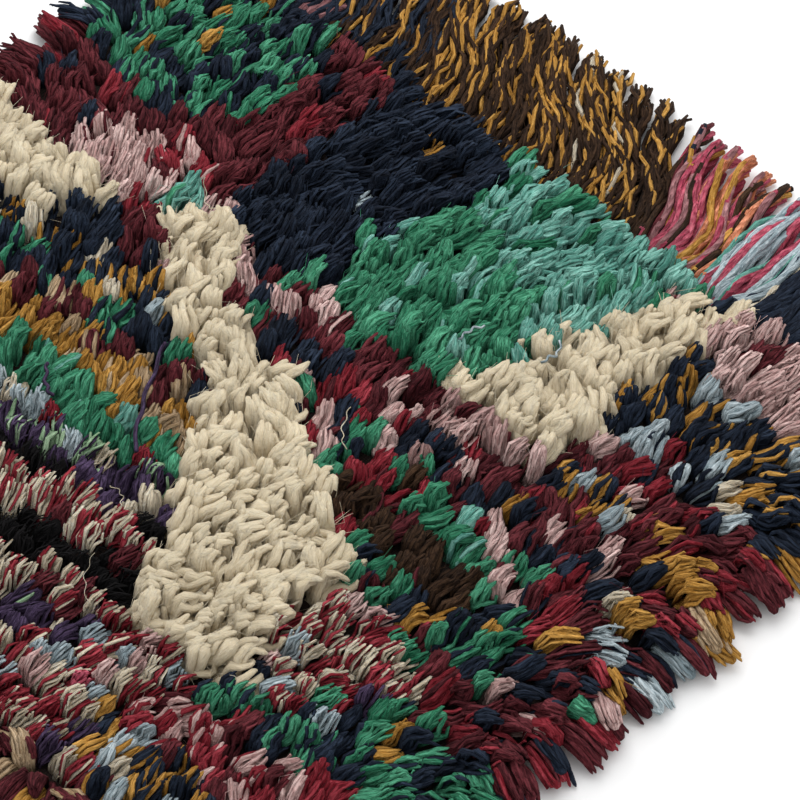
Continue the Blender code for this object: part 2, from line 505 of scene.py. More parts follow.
PALE_MIX = mix(CURLY, 0.7, purple=0.24, mint=0.34, sky=0.16, ivory=0.12, red=0.10, pink=0.04)
RED_IVORY = mix(LOOSE, 0.95, red=0.46, ivory=0.44, maroon=0.06, rose=0.04)
BLACK = mix(WIRY, black=1.0)
BRIGHT_MIX = mix(
    LOOSE, 0.5, red=0.40, ivory=0.25, rose=0.13, sky=0.10, pink=0.03, green=0.05, purple=0.04
)
SMALL_MIX = mix(LEAFY, 0.15, navy=0.28, maroon=0.28, green=0.18, red=0.14, rose=0.12)
RIM_MIX = mix(FINE, 0.35, maroon=0.38, navy=0.20, gold=0.16, sky=0.12, red=0.10, ivory=0.04)


@dataclass(frozen=True)
class Patch:
    """A colour patch of the plan: its corners in centimetres, and its blend."""

    corners: tuple[Point, ...]
    blend: Blend

    def holds(self, x: float, y: float) -> bool:
        """Says whether a spot lies in the patch.

        Args:
            x: the spot's place along the rows, in centimetres.
            y: its place towards the fringed end, in centimetres.

        Returns:
            True where a line from the spot crosses the outline an odd number of times.
        """
        inside = False
        for (ax, ay), (bx, by) in zip(self.corners, self.corners[1:] + self.corners[:1]):
            if (ay > y) != (by > y) and x < (bx - ax) * (y - ay) / (by - ay) + ax:
                inside = not inside
        return inside


def below(*line: Point) -> tuple[Point, ...]:
    """Gives the corners of the stretch from a line down to the near end of the plan."""
    return (*line, (line[-1][0], -40.0), (line[0][0], -40.0))


@dataclass(frozen=True)
class CombedSpot:
    """A spot of the pile and the way its tufts lean there, in degrees from +Y towards +X."""

    x: float
    y: float
    lean: float


PLAN: tuple[Patch, ...] = (
    Patch(((-46, -40), (46, -40), (46, 40), (-46, 40)), SMALL_MIX),
    Patch(((-46, 12), (-27, 12), (-19, 16), (-17, 28), (-17, 40), (-46, 40)), MAROON),
    Patch(((-46, 24), (-32, 22), (-24, 30), (-27, 40), (-46, 40)), NAVY_GREEN),
    Patch(
        ((-46, 5), (-36, 4), (-29, 5.4), (-28, 9.2), (-26, 11.6), (-32, 11.6), (-37, 11), (-46, 12)),
        CREAM,
    ),
    Patch(((-37, 12), (-32, 10.4), (-27, 11.6), (-26.4, 15.6), (-30, 20), (-35, 17.5)), ROSE),
    Patch(((-30, 19.5), (-27, 13.5), (-24, 13), (-20, 16), (-22, 20), (-27, 22)), RED_ROSE),
    Patch(((-25.5, 13.5), (-22, 12.5), (-21, 17), (-24.5, 17.5)), TEAL),
    Patch(((-27, 10.4), (-22, 14), (-18.5, 9.5), (-17.5, 7.4), (-22.5, 8.3)), MAROON),
    Patch(((-29.5, 4.4), (-18, 4.4), (-17.5, 7.5), (-22.5, 8.5), (-27, 10.4), (-29.5, 8)), NAVY),
    Patch(((-46, 1), (-6.5, 2.2), (-6.5, 5), (-15, 8.2), (-19, 6), (-36, 4.4), (-46, 5)), NAVY_GOLD),
    Patch(((-46, -2), (-27, -1.4), (-4, -1), (-6.5, 2.4), (-32, 1.4), (-46, 1)), NAVY_GREEN),
    Patch(((-46, -4), (-27, -3.6), (-1, -3), (-3.5, 0.4), (-27, -1.4), (-46, -2)), MAROON_TAN),
    Patch(((-46, -7), (-9, -6.5), (1.8, -7), (1, -3.4), (-9, -2.6), (-27, -3.6), (-46, -4)), GOLD),
    Patch(((-46, -10.5), (-4, -11.3), (1.6, -10.4), (2, -7), (-9, -6.5), (-46, -7)), GREEN),
    Patch(below((-46, -11.5), (-10, -10.6), (-5.5, -10.9), (-1, -9.7), (3.2, -8.0), (12, -7.0)), PALE_MIX),
    Patch(below((-46, -14.2), (-8, -13.9), (-4, -12.8), (0.2, -11.8), (5, -9.4), (12, -8.0)), PURPLE),
    Patch(below((-46, -15.7), (-7.7, -15.4), (0.7, -14.5), (4.7, -14.3), (12, -12.0)), BLACK),
    Patch(
        below((-46, -16.9), (-5.9, -16.7), (-3.2, -15.8), (1.4, -15.2), (5.8, -15.0), (13, -14.2)),
        RED_IVORY,
    ),
    Patch(below((-46, -20.8), (-5.4, -20.6), (0.8, -19.2), (6.6, -18.4), (14, -16.8)), BLACK),
    Patch(below((-46, -25), (-1.2, -24.2), (4, -22.9), (9.7, -21.2), (14, -19.8)), RED_IVORY),
    Patch(below((-46, -28.8), (2.9, -27.8), (8.9, -25.4), (16, -24.2)), PURPLE),
    Patch(below((-46, -31.5), (5.9, -30.4), (14.6, -26.4), (22, -25)), BRIGHT_MIX),
    Patch(((-46, -40), (46, -40), (46, -36.5), (-46, -36.5)), MAROON_TAN),
    Patch(((11, -21), (26, -21), (24, -31), (13, -30)), BRIGHT_MIX),
    Patch(
        (
            (-21, 12.6), (-18.6, 15.4), (-13.7, 12.8), (-8.7, 9.6), (-2.8, 8.2), (0.4, 7.2),
            (4.6, 3.8), (10.4, 1.4), (15.4, -1.4), (19.2, -3.4), (23.4, -5.4), (23, -10.2),
            (22.4, -14.2), (23.6, -18), (25.5, -22), (24, -24), (20.8, -22), (16, -22.4),
            (11.6, -21.6), (10.4, -17), (9.0, -14.4), (4.8, -10.5), (1.6, -3.9), (-1.6, 0.3),
            (-6.6, 3.4), (-12, 5), (-18, 9.4),
        ),
        CREAM,
    ),
    Patch(
        (
            (-19, 17), (-17, 28), (-17.5, 40), (-2, 40), (-2, 31), (-5, 26), (-5, 16), (-9, 14.4),
            (-15, 15.6),
        ),
        NAVY,
    ),
    Patch(((-11, 27), (-9.5, 26.5), (-7.5, 28.5), (-9, 30)), NAVY_GOLD_FINE),
    Patch(
        (
            (-5, 16.4), (-5.2, 25), (-3, 32), (-2, 40), (0, 40), (3, 30.5), (12, 30.5), (17, 25.4),
            (17, 20.6), (14.6, 16.8), (13, 15.2), (6, 16),
        ),
        GREEN,
    ),
    Patch(
        (
            (-1, 40), (0, 34), (4, 30.5), (12, 30), (14, 25.5), (17, 25.6), (18.6, 30), (19.4, 34),
            (20.2, 37), (20, 40),
        ),
        TEAL,
    ),
    Patch(
        (
            (12.6, 14.8), (13.4, 17), (15.4, 20.6), (15.8, 25), (17.2, 29.6), (18, 34), (20.4, 37.2),
            (24, 40), (29, 40), (28.8, 37.6), (26.6, 34), (25.4, 29.4), (25, 25), (26, 21),
            (24.8, 17.2), (18, 15),
        ),
        CREAM,
    ),
    Patch(
        (
            (-22.5, 16.5), (-18, 17.4), (-10.8, 13.6), (-4.5, 14.2), (-0.5, 16.3), (2, 13.6),
            (-5, 11.6), (-13, 13),
        ),
        ROSE,
    ),
    Patch(((-12, 11.5), (-6, 12), (0, 13), (5, 15.5), (9, 11.5), (3, 11.5), (-1, 10), (-7, 10)), MAROON),
    Patch(((-4, 10), (-1, 12), (3, 12), (4.6, 9), (2, 7.8)), NAVY),
    Patch(((2, 7.4), (4.5, 10.6), (9.5, 9.6), (6.6, 6.6)), RED),
    Patch(((5, 6.8), (9, 10.6), (15, 8.4), (11.6, 4.2)), NAVY_GREEN),
    Patch(((13.4, 0.8), (11.8, 4.2), (14.8, 6.4), (19.5, 5.3), (21.5, 0.8), (19, -1.7)), BROWN),
    Patch(((12.3, 3.1), (15.4, 6.2), (20.4, 3.8), (18, 1.6)), RED),
    Patch(((18.5, -3), (20.8, 0.6), (23.6, -1), (23, -3.4)), GREEN),
    Patch(((22.4, -1.5), (24, 1.8), (33.6, 3.3), (35.2, 1), (29.4, -1.2)), BROWN),
    Patch(((20, 4), (21.6, 5.8), (27.4, 5), (28.2, 2.6), (24.2, 1.8)), GREEN),
    Patch(((9, 7.4), (34, 6.4), (36, 9.6), (20, 11), (9, 12)), MID_MIX),
    Patch(((9, 12), (14, 14.8), (24, 16.6), (25, 14.4), (17, 12.2)), ROSE),
    Patch(
        (
            (15, 11.6), (24, 13.8), (26, 17), (25.5, 24), (30, 27.5), (38, 25.5), (46, 22.5),
            (46, 9.5), (36, 9.4),
        ),
        MAROON_MIX,
    ),
    Patch(((25, -4), (29.5, 1.6), (36, 2.4), (41, 1), (41, -2.4), (36, -7), (31, -6)), NAVY_GREEN),
    Patch(((20.4, 0.6), (21.6, -2.8), (27, -3.0), (33.6, -2.4), (34.4, 0.8), (27, 1.4)), BROWN),
    Patch(((36, 2.4), (38, 9), (46, 9.5), (46, 1), (41, -2.4)), RIM_MIX),
    Patch(
        ((25.4, 22.5), (25.5, 29), (26.6, 34.5), (28, 40), (46, 40), (46, 21.5), (38, 24.5), (30, 27)),
        NAVY_GOLD_FINE,
    ),
    Patch(((26.4, 35.8), (27, 40), (46, 40), (46, 33.6), (32, 33.2)), ROSE),
    Patch(((26, -6), (25, -14), (25, -18.5), (33, -19), (34, -9)), BRIGHT_MIX),
    Patch(((27.4, -7.6), (31, -5), (38, -6), (46, -6), (46, -13), (34, -12)), MAROON_MIX),
    Patch(((25, -18.5), (33, -19), (34, -12), (46, -13), (46, -22), (22, -23)), NAVY_GREEN),
    Patch(((22, -23), (46, -22), (46, -30), (18, -29.5)), RED_ROSE),
    Patch(((18, -29.5), (46, -30), (46, -36.5), (22, -36.5)), NAVY_GOLD),
    Patch(
        (
            (22.3, -14.7), (22, -10.5), (23.7, -7), (28, -6.2), (33, -6.4), (36, -9.5), (34, -16),
            (27, -20),
        ),
        BRIGHT_MIX,
    ),
    Patch(((33.2, 23.7), (34.7, 26.9), (38.9, 25.6), (40, 23.1), (36.7, 21.7)), SKY),
    Patch(((39.3, 23), (42.3, 25.7), (45.6, 23.3), (43, 21.5)), SKY),
    Patch(((45.2, 22.4), (46.9, 24.2), (48.4, 22.4), (46.9, 21)), SKY),
    Patch(((27.9, 22.9), (29.1, 25.5), (32.2, 24.9), (30.6, 21.9)), SKY),
    Patch(((39.7, 15), (41.9, 17.2), (47.1, 13), (46.1, 10.5)), GOLD),
    Patch(((29.8, 15.6), (31.6, 18.2), (37.3, 15.8), (34.5, 13.8)), NAVY_GOLD),
    Patch(((26.2, 16.2), (27.7, 19.3), (30.7, 17.4), (29, 14.7)), NAVY_GOLD),
    Patch(((34.5, 10.6), (37.1, 13.2), (40.1, 11.5), (38.5, 8.8)), ROSE),
)

COMBED: tuple[CombedSpot, ...] = tuple(
    CombedSpot(*spot)
    for spot in (
        (-10, 30, 23), (8, 34, 28), (11, 22, 18), (0, 20, 0), (16, 21, -38), (20, 28, -26),
        (25, 34, 6), (-12, 8, -28), (4, 2, -40), (17, -8, 5), (17, -20, 30), (-20, 0, -20),
        (-30, 8, -26), (-12, -14, -14), (-32, 18, -42), (12, 10, -5), (24, 5, -4), (38, 15, 7),
        (36, 31, 3), (26, -14, 20), (-10, -28, -6), (-36, -28, 4), (36, -30, -8), (-36, 32, 12),
    )
)


@dataclass
class Relief:
    """How high the rug stands so far over each spot of the floor, on a fine grid.

    A strand is laid on it and then pressed into it, so that later strands come to rest on top.
    """

    low: Point
    high: Point
    step: float = 0.0016
    heights: np.ndarray = field(init=False)
    stamps: dict[int, tuple[np.ndarray, np.ndarray, np.ndarray]] = field(init=False, default_factory=dict)

    def __post_init__(self) -> None:
        """Starts with the bare floor."""
        columns = int((self.high[0] - self.low[0]) / self.step) + 1
        rows = int((self.high[1] - self.low[1]) / self.step) + 1
        self.heights = np.zeros((columns, rows), np.float32)

    def raise_block(self, low: Point, high: Point, height: float) -> None:
        """Lays a flat block, such as the woven ground, on the floor.

        Args:
            low: its corner nearest the grid's start.
            high: its corner farthest from it.
            height: how high it is.
        """
        ax, ay = self.cell(*low)
        bx, by = self.cell(*high)
        self.heights[ax:bx, ay:by] = height

    def cell(self, x: float, y: float) -> tuple[int, int]:
        """Gives the grid cell of a spot.

        Args:
            x: the spot's place along X.
            y: its place along Y.

        Returns:
            The cell's column and row, kept inside the grid.
        """
        column = min(max(int((x - self.low[0]) / self.step), 0), self.heights.shape[0] - 1)
        row = min(max(int((y - self.low[1]) / self.step), 0), self.heights.shape[1] - 1)
        return column, row

    def over(self, x: float, y: float) -> float:
        """Gives the height over the floor at a spot."""
        return float(self.heights[self.cell(x, y)])

    def stamp(self, radius: float) -> tuple[np.ndarray, np.ndarray, np.ndarray]:
        """Gives the cells that a round strand covers beside its middle.

        Args:
            radius: the strand's radius.

        Returns:
            The cells' column and row offsets, and how high the strand's top is over its middle there.
        """
        reach = max(1, round(radius / self.step))
        if reach not in self.stamps:
            across = np.arange(-reach, reach + 1)
            columns, rows = (part.ravel() for part in np.meshgrid(across, across, indexing="ij"))
            inside = (columns**2 + rows**2) * self.step**2 <= (radius * 1.05) ** 2
            columns, rows = columns[inside], rows[inside]
            tops = np.sqrt(np.maximum(radius**2 - (columns**2 + rows**2) * self.step**2, 0.0))
            self.stamps[reach] = (columns, rows, tops.astype(np.float32))
        return self.stamps[reach]

    def press(self, points: np.ndarray, radius: float, flat: float = 1.0) -> None:
        """Raises the relief to the top of a strand.

        Args:
            points: the strand's middle line, a row of three numbers for each station.
            radius: its radius.
            flat: its height beside its width.
        """
        steps = max(2, int(np.linalg.norm(np.diff(points, axis=0), axis=1).sum() / (self.step * 1.2)))
        where = np.linspace(0, len(points) - 1, steps)
        line = np.stack([np.interp(where, np.arange(len(points)), points[:, axis]) for axis in range(3)], 1)
        columns, rows, tops = self.stamp(radius)
        ix = ((line[:, 0] - self.low[0]) / self.step).astype(int)[:, None] + columns
        iy = ((line[:, 1] - self.low[1]) / self.step).astype(int)[:, None] + rows
        np.clip(ix, 0, self.heights.shape[0] - 1, out=ix)
        np.clip(iy, 0, self.heights.shape[1] - 1, out=iy)
        np.maximum.at(self.heights, (ix, iy), (line[:, 2:3] + tops * flat).astype(np.float32))


def stand(name: str, data: bpy.types.ID) -> bpy.types.Object:
    """Puts a mesh, a light or a camera into the scene.

    Args:
        name: the object's name.
        data: what it shows.

    Returns:
        The new object.
    """
    thing = bpy.data.objects.new(name, data)
    bpy.context.scene.collection.objects.link(thing)
    return thing


def mesh_of(name: str, bm: bmesh.types.BMesh, material: bpy.types.Material) -> bpy.types.Mesh:
    """Turns an edited mesh into a plain one.

    Args:
        name: the mesh's name.
        bm: the edited mesh, which is freed.
        material: its finish.

    Returns:
        The mesh with its finish.
    """
    mesh = bpy.data.meshes.new(name)
    bm.to_mesh(mesh)
    bm.free()
    mesh.materials.append(material)
    return mesh


@dataclass
class Basket:
    """The strands made so far, sorted by part, yarn, faces round them and rings along them."""

    held: dict[tuple[Part, Yarn], dict[tuple[int, int], list[Strand]]] = field(default_factory=dict)

    def add(
        self,
        part: Part,
        yarn: Yarn,
        sides: int,
        points: np.ndarray,
        radii: np.ndarray,
        tone: float = 1.0,
        flat: float = 1.0,
    ) -> None:
        """Keeps one strand.

        Args:
            part: the sub-assembly that it belongs to.
            yarn: the yarn that it is cut from.
            sides: the faces round it.
            points: its middle line, from root to tip.
            radii: its radius at each of those points.
            tone: how light it is beside its yarn's own colour.
            flat: its height beside its width.
        """
        sorts = self.held.setdefault((part, yarn), {})
        sorts.setdefault((sides, len(points)), []).append((points, radii, tone, flat))

    def make(self, part: Part, yarn: Yarn, material: bpy.types.Material) -> bpy.types.Object:
        """Joins a yarn's strands into one piece.

        Args:
            part: the sub-assembly.
            yarn: the yarn.
            material: its finish.

        Returns:
            The piece, which rides on the rug and has its slot.
        """
        coords, loops, starts, tones, alongs, runs, sheets = ([] for _ in range(7))
        sorts = sorted(self.held[(part, yarn)].items())
        total = sum(len(strands) for _, strands in sorts)
        strand_base = 0
        vertex_base = 0
        loop_base = 0
        for (sides, rings), strands in sorts:
            block = StrandBlock(sides, *(np.array(column) for column in zip(*strands)))
            coords.append(block.coords())
            faces, sizes, run = block.faces()
            loops.append(faces + vertex_base)
            starts.append(np.concatenate([[0], np.cumsum(sizes)[:-1]]) + loop_base)
            runs.append(run)
            sheets.append(block.bake_map(strand_base, total))
            tones.append(np.repeat(block.tones, rings * sides))
            alongs.append(np.tile(np.repeat(np.linspace(0, 1, rings), sides), len(strands)))
            strand_base += len(strands)
            vertex_base += len(coords[-1])
            loop_base += len(faces)
        mesh = bpy.data.meshes.new(f"{part.value}_{yarn.value}")
        for items, name, values, kind in (
            (mesh.vertices, "co", coords, np.float32),
            (mesh.loops, "vertex_index", loops, np.int32),
            (mesh.polygons, "loop_start", starts, np.int32),
        ):
            joined = np.concatenate(values).astype(kind)
            items.add(len(joined))
            items.foreach_set(name, joined.ravel())
        mesh.polygons.foreach_set("use_smooth", np.ones(len(mesh.polygons), bool))
        for name, corners in ((YARN_RUN, runs), (BAKE_MAP, sheets)):
            layer = mesh.uv_layers.new(name=name)
            layer.data.foreach_set("uv", np.concatenate(corners).astype(np.float32).ravel())
        for name, values in ((TONE, tones), (ALONG, alongs)):
            attribute = mesh.attributes.new(name, "FLOAT", "POINT")
            attribute.data.foreach_set("value", np.concatenate(values).astype(np.float32))
        mesh.update(calc_edges=True)
        mesh.validate()
        mesh.materials.append(material)
        piece = stand(mesh.name, mesh)
        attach(piece, BODY)
        return piece


@dataclass
class StrandBlock:
    """Strands with the same number of sides and rings, worked out together.

    points has a middle line for each strand, radii its radius at each ring, tones how light each is,
    and flats how high each is beside its width.

    STEADYING is how much a strand's overall heading steadies its rings. A strand of FINE_RADIUS shows
    its finish once round it, and SHIFT_BY_TONE slides the finish along by the strand's lightness.
    CELL_SHAPE is how many cells the bake sheet has across for each one up, CELL_INSET the margin at
    a cell's sides, and WALLS_LOW and WALLS_SPAN where the walls start in it and how much they take.
    ROOT_CAP and TIP_CAP are the middle and the height of the two ends' places in it.
    """

    TINY: ClassVar[float] = 1e-9
    STEADYING: ClassVar[float] = 0.35
    FINE_RADIUS: ClassVar[float] = 0.0022
    SHIFT_BY_TONE: ClassVar[float] = 7.3
    CELL_SHAPE: ClassVar[float] = 3.5
    CELL_INSET: ClassVar[float] = 0.05
    WALLS_LOW: ClassVar[float] = 0.06
    WALLS_SPAN: ClassVar[float] = 0.84
    ROOT_CAP: ClassVar[Point] = (0.025, 0.04)
    TIP_CAP: ClassVar[Point] = (0.95, 0.06)

    sides: int
    points: np.ndarray
    radii: np.ndarray
    tones: np.ndarray
    flats: np.ndarray

    def coords(self) -> np.ndarray:
        """Gives the vertices.

        Returns:
            Their places, strand by strand and ring by ring along each.
        """
        tangent = self.unit(np.gradient(self.points, axis=1))
        level = np.array([1.0, 1.0, 0.0])
        overall = self.unit((self.points[:, -1] - self.points[:, 0])[:, None, :] * level)
        ahead = self.unit(tangent * level + self.STEADYING * overall)
        across = np.stack([ahead[..., 1], -ahead[..., 0], np.zeros_like(ahead[..., 0])], -1)
        across = self.unit(across - tangent * (across * tangent).sum(2, keepdims=True))
        above = np.cross(across, tangent)
        angle = (np.arange(self.sides) / self.sides * math.tau - math.pi / 2)[None, None, :, None]
        reach = self.radii[:, :, None, None]
        flat = self.flats[:, None, None, None]
        ring = np.cos(angle) * across[:, :, None, :] + flat * np.sin(angle) * above[:, :, None, :]
        return (self.points[:, :, None, :] + ring * reach).reshape(-1, 3)

    def unit(self, vectors: np.ndarray) -> np.ndarray:
        """Brings vectors to the length of one."""
        return vectors / np.maximum(np.linalg.norm(vectors, axis=2, keepdims=True), self.TINY)

    def wall_corners(self) -> tuple[np.ndarray, np.ndarray]:
        """Gives the corners of one strand's wall faces.

        Returns:
            The ring and the side of each face's four corners, where the last side's next is one more.
        """
        rings = np.arange(self.radii.shape[1] - 1)
        ring, side = (part.ravel() for part in np.meshgrid(rings, np.arange(self.sides), indexing="ij"))
        return np.stack([ring, ring, ring + 1, ring + 1], 1), np.stack([side, side + 1, side + 1, side], 1)

    def faces(self) -> tuple[np.ndarray, np.ndarray, np.ndarray]:
        """Gives the faces.

        Returns:
            The vertex of each face corner, each face's number of corners, and each corner's place on
            the strand's own map: its way round, where 1 is once round a fine strand, and its metres
            along.
        """
        count, rings = self.radii.shape
        sides = self.sides
        ring, side = self.wall_corners()
        walls = ring * sides + side % sides
        root = np.arange(sides)[::-1]
        tip = np.arange(sides) + (rings - 1) * sides
        corners = np.concatenate([walls.ravel(), root, tip])
        sizes = np.concatenate([np.full(len(walls), 4), [sides, sides]])
        bases = np.arange(count)[:, None] * rings * sides
        around = np.concatenate([side.ravel() / sides, root / sides, np.arange(sides) / sides])
        ring_of = np.concatenate([ring.ravel(), np.zeros(sides, int), np.full(sides, rings - 1)])
        lengths = np.linalg.norm(np.diff(self.points, axis=1), axis=2)
        metres = np.concatenate([np.zeros((count, 1)), np.cumsum(lengths, 1)], 1)
        metres = metres + self.tones[:, None] * self.SHIFT_BY_TONE
        thickness = self.radii.mean(1) / self.FINE_RADIUS
        run = np.stack([thickness[:, None] * around, metres[:, ring_of]], -1)
        return (corners[None, :] + bases).ravel(), np.tile(sizes, count), run.reshape(-1, 2)

    def bake_map(self, first: int, total: int) -> np.ndarray:
        """Gives each strand a cell of its own on a square sheet.

        Args:
            first: how many of the piece's strands come before these.
            total: how many strands the piece has.

        Returns:
            Each face corner's place on the sheet.
        """
        count, rings = self.radii.shape
        ring, side = self.wall_corners()
        angle = np.arange(self.sides) / self.sides * math.tau
        rim_across, rim_up = 0.5 + 0.5 * np.cos(angle), 0.5 * np.sin(angle)
        across = np.concatenate([side.ravel() / self.sides, rim_across[::-1], rim_across])
        across = across * (1.0 - 2 * self.CELL_INSET) + self.CELL_INSET
        up = self.WALLS_LOW + self.WALLS_SPAN * ring.ravel() / (rings - 1)
        root_up = self.ROOT_CAP[0] + self.ROOT_CAP[1] * rim_up[::-1]
        tip_up = self.TIP_CAP[0] + self.TIP_CAP[1] * rim_up
        up = np.concatenate([up, root_up, tip_up])
        columns = math.ceil(math.sqrt(total * self.CELL_SHAPE))
        rows = math.ceil(total / columns)
        cell = np.arange(first, first + count)[:, None]
        places = np.stack([(cell % columns + across) / columns, (cell // columns + up) / rows], -1)
        return places.reshape(-1, 2)


@dataclass
class Tuft:
    """How one tuft lies: its heading, its lift off the ground, where its snaking starts, its length
    and its lightness."""

    heading: float
    lift: float
    phase: float
    length: float
    tone: float


@dataclass(frozen=True)
class StrayYarn:
    """A loose yarn that lies on the pile: its two ends in centimetres, its yarn, its radius, and how
    far it bows to the side."""

    start: Point
    end: Point
    yarn: Yarn
    radius: float
    bow: float


STRAYS: tuple[StrayYarn, ...] = (
    StrayYarn((-8.8, 0.7), (-0.2, -10.8), Yarn.PURPLE, 0.0022, 0.5),
    StrayYarn((-13.4, -9.4), (-10.4, -11.6), Yarn.PURPLE, 0.0018, 0.4),
    StrayYarn((18.3, 22.0), (17.2, 25.8), Yarn.SKY, 0.0012, 0.5),
    StrayYarn((10.8, 19.0), (11.6, 21.7), Yarn.SKY, 0.0011, -0.3),
    StrayYarn((5.5, -20.7), (9.5, -24.9), Yarn.IVORY, 0.0003, 0.6),
    StrayYarn((0.7, -14.6), (2.9, -15.4), Yarn.IVORY, 0.0004, -0.6),
    StrayYarn((-21.5, 17.5), (-16.9, 14.5), Yarn.IVORY, 0.0005, 0.4),
    StrayYarn((8.9, 7.1), (12.8, 2.6), Yarn.IVORY, 0.0005, 0.5),
)


@dataclass
class Pile:
    """The knotted pile.

    width and length are the woven ground's, centre_y its middle, ground the height of its top,
    row_pitch and knot_pitch how far apart rows and knots are, jitter how far a knot strays,
    side_margin and end_margin how far the first knots are from an edge, and parting how far from the
    near edge the pile and the hanging locks part. turn_right and turn_left are how near those edges
    the tufts turn to hang over them and rim_growth how much longer they are at the right edge.
    plan_reach is how far a tuft lies from its knot, and ceiling is as high as any strand may reach.
    likeness sets over what distance neighbours lie alike.

    COMB_BLUR softens a combed spot's pull close by, in square centimetres, and COMB_FALL is how it
    falls off. RIGHT_TURN and LEFT_TURN are the headings at the sides, in degrees, and RIM_TURN that
    of the locks there. PITCH_SHARES are the shares of a strand's length where its lift, its crest,
    its drop and its curl are, and CREST_PITCH its slope at the crest. SNAKE, STRAY_WAY and STRAY_PITCH
    are how fast a strand winds along its length. STEEPEST and LEVEL_LEFT limit how a step climbs, as
    shares of the step. EDGE_X and EDGE_Y keep a look at the plan inside it, PLAN_BLUR blurs its
    patches' edges, both in centimetres, and ROOT_DEPTH is how far a strand starts inside the ground.
    The SWING and JITTER values say how much tufts differ, with neighbours and without.
    """

    EDGE_X: ClassVar[float] = 45.9
    EDGE_Y: ClassVar[float] = 39.9
    COMB_BLUR: ClassVar[float] = 9.0
    COMB_FALL: ClassVar[float] = 1.5
    RIGHT_TURN: ClassVar[float] = 98.0
    LEFT_TURN: ClassVar[float] = -80.0
    RIM_TURN: ClassVar[float] = 97.0
    PLAN_BLUR: ClassVar[float] = 0.7
    HEADING_SWING: ClassVar[float] = 0.55
    HEADING_JITTER: ClassVar[float] = 0.07
    LIFT_JITTER: ClassVar[float] = 7.0
    PHASE_SWING: ClassVar[float] = 9.0
    PHASE_JITTER: ClassVar[float] = 0.35
    OTHER_NOISE: ClassVar[Place] = (0.0, 0.0, 7.0)
    DARKEST: ClassVar[float] = 0.7
    LIGHTEST: ClassVar[float] = 1.3
    PRESS: ClassVar[float] = 0.9
    ROOT_DEPTH: ClassVar[float] = 0.0015
    BLUNT_STEP: ClassVar[float] = 0.7
    PITCH_SHARES: ClassVar[tuple[float, ...]] = (0.0, 0.38, 0.74, 1.0)
    CREST_PITCH: ClassVar[float] = 6.0
    SNAKE: ClassVar[float] = 4.6
    STRAY_WAY: ClassVar[float] = 6.0
    STRAY_PITCH: ClassVar[float] = 7.0
    STEEPEST: ClassVar[float] = 0.96
    LEVEL_LEFT: ClassVar[float] = 0.25
    STRAY_STATIONS: ClassVar[int] = 22
    STRAY_ROUNDS: ClassVar[int] = 30

    relief: Relief
    basket: Basket
    width: float
    length: float
    centre_y: float
    ground: float
    row_pitch: float = 0.0220
    knot_pitch: float = 0.0172
    jitter: float = 0.0045
    side_margin: float = 0.006
    end_margin: float = 0.014
    parting: float = 0.010
    turn_right: float = 0.11
    turn_left: float = 0.05
    rim_growth: float = 0.30
    plan_reach: float = 0.024
    ceiling: float = 0.0424
    likeness: float = 26.0
    dice: random.Random = field(default_factory=lambda: random.Random(5))

    def blend_at(self, x: float, y: float) -> Blend:
        """Gives the blend of the plan at a spot.

        Args:
            x: the spot's place along the rows, in centimetres.
            y: its place towards the fringed end, in centimetres.

        Returns:
            The blend of the last patch that holds it.
        """
        x = min(max(x, -self.EDGE_X), self.EDGE_X)
        y = min(max(y, -self.EDGE_Y), self.EDGE_Y)
        for patch in reversed(PLAN):
            if patch.holds(x, y):
                return patch.blend
        return PLAN[0].blend

    def lean_at(self, x: float, y: float) -> float:
        """Gives the way that the pile leans at a spot.

        Args:
            x: the spot's place along the rows, in metres from the middle.
            y: its place towards the fringe, in metres from the middle.

        Returns:
            The heading in radians from +Y towards +X: the nearby combed spots' mean, turned outwards
            near the sides.
        """
        total = 0.0
        weight = 0.0
        for spot in COMBED:
            gap = (x / CM - spot.x) ** 2 + (y / CM - spot.y) ** 2
            share = 1.0 / (gap + self.COMB_BLUR) ** self.COMB_FALL
            total += share * spot.lean
            weight += share
        heading = math.radians(total / weight)
        right = self.width / 2 - x
        left = self.width / 2 + x
        if right < self.turn_right:
            heading += (math.radians(self.RIGHT_TURN) - heading) * (1 - right / self.turn_right)
        if left < self.turn_left:
            heading += (math.radians(self.LEFT_TURN) - heading) * (1 - left / self.turn_left)
        return heading

    def lay(self) -> None:
        """Knots the rims and then every row, from the fringed end to the near end."""
        self.lay_rims()
        rows = int((self.length - self.side_margin - self.end_margin) / self.row_pitch) + 1
        columns = int((self.width - 2 * self.side_margin) / self.knot_pitch) + 1
        for row in range(rows):
            y_row = self.length / 2 - self.end_margin - row * self.row_pitch
            order = list(range(columns))
            self.dice.shuffle(order)
            for column in order:
                x = -self.width / 2 + self.side_margin + (column + 0.5 * (row % 2)) * self.knot_pitch
                x += self.dice.uniform(-self.jitter, self.jitter)
                y = y_row + self.dice.uniform(-self.jitter, self.jitter)
                x = min(max(x, -self.width / 2 + self.side_margin), self.width / 2 - self.side_margin)
                y = max(y, -self.length / 2 + self.side_margin)
                self.knot(x, y, self.lean_at(x, y))
        self.cover_parting()
        for stray in STRAYS:
            self.lay_stray(stray)

    def lay_rims(self) -> None:
        """Knots the longer tufts that hang over the near edge and both side edges."""
        side = self.width / 2 - self.side_margin
        near = self.length / 2 - self.side_margin
        for index in range(int(2 * side / self.knot_pitch) + 1):
            x = -side + index * self.knot_pitch
            heading = math.pi - x / self.width + self.dice.uniform(-0.15, 0.15)
            self.knot(x, -near, heading, RIM)
        for index in range(int(2 * near / self.knot_pitch) + 1):
            y = -near + index * self.knot_pitch
            for x in (-side, side):
                heading = math.copysign(math.radians(self.RIM_TURN), x) + self.dice.uniform(-0.2, 0.2)
                self.knot(x, y, heading, RIM)

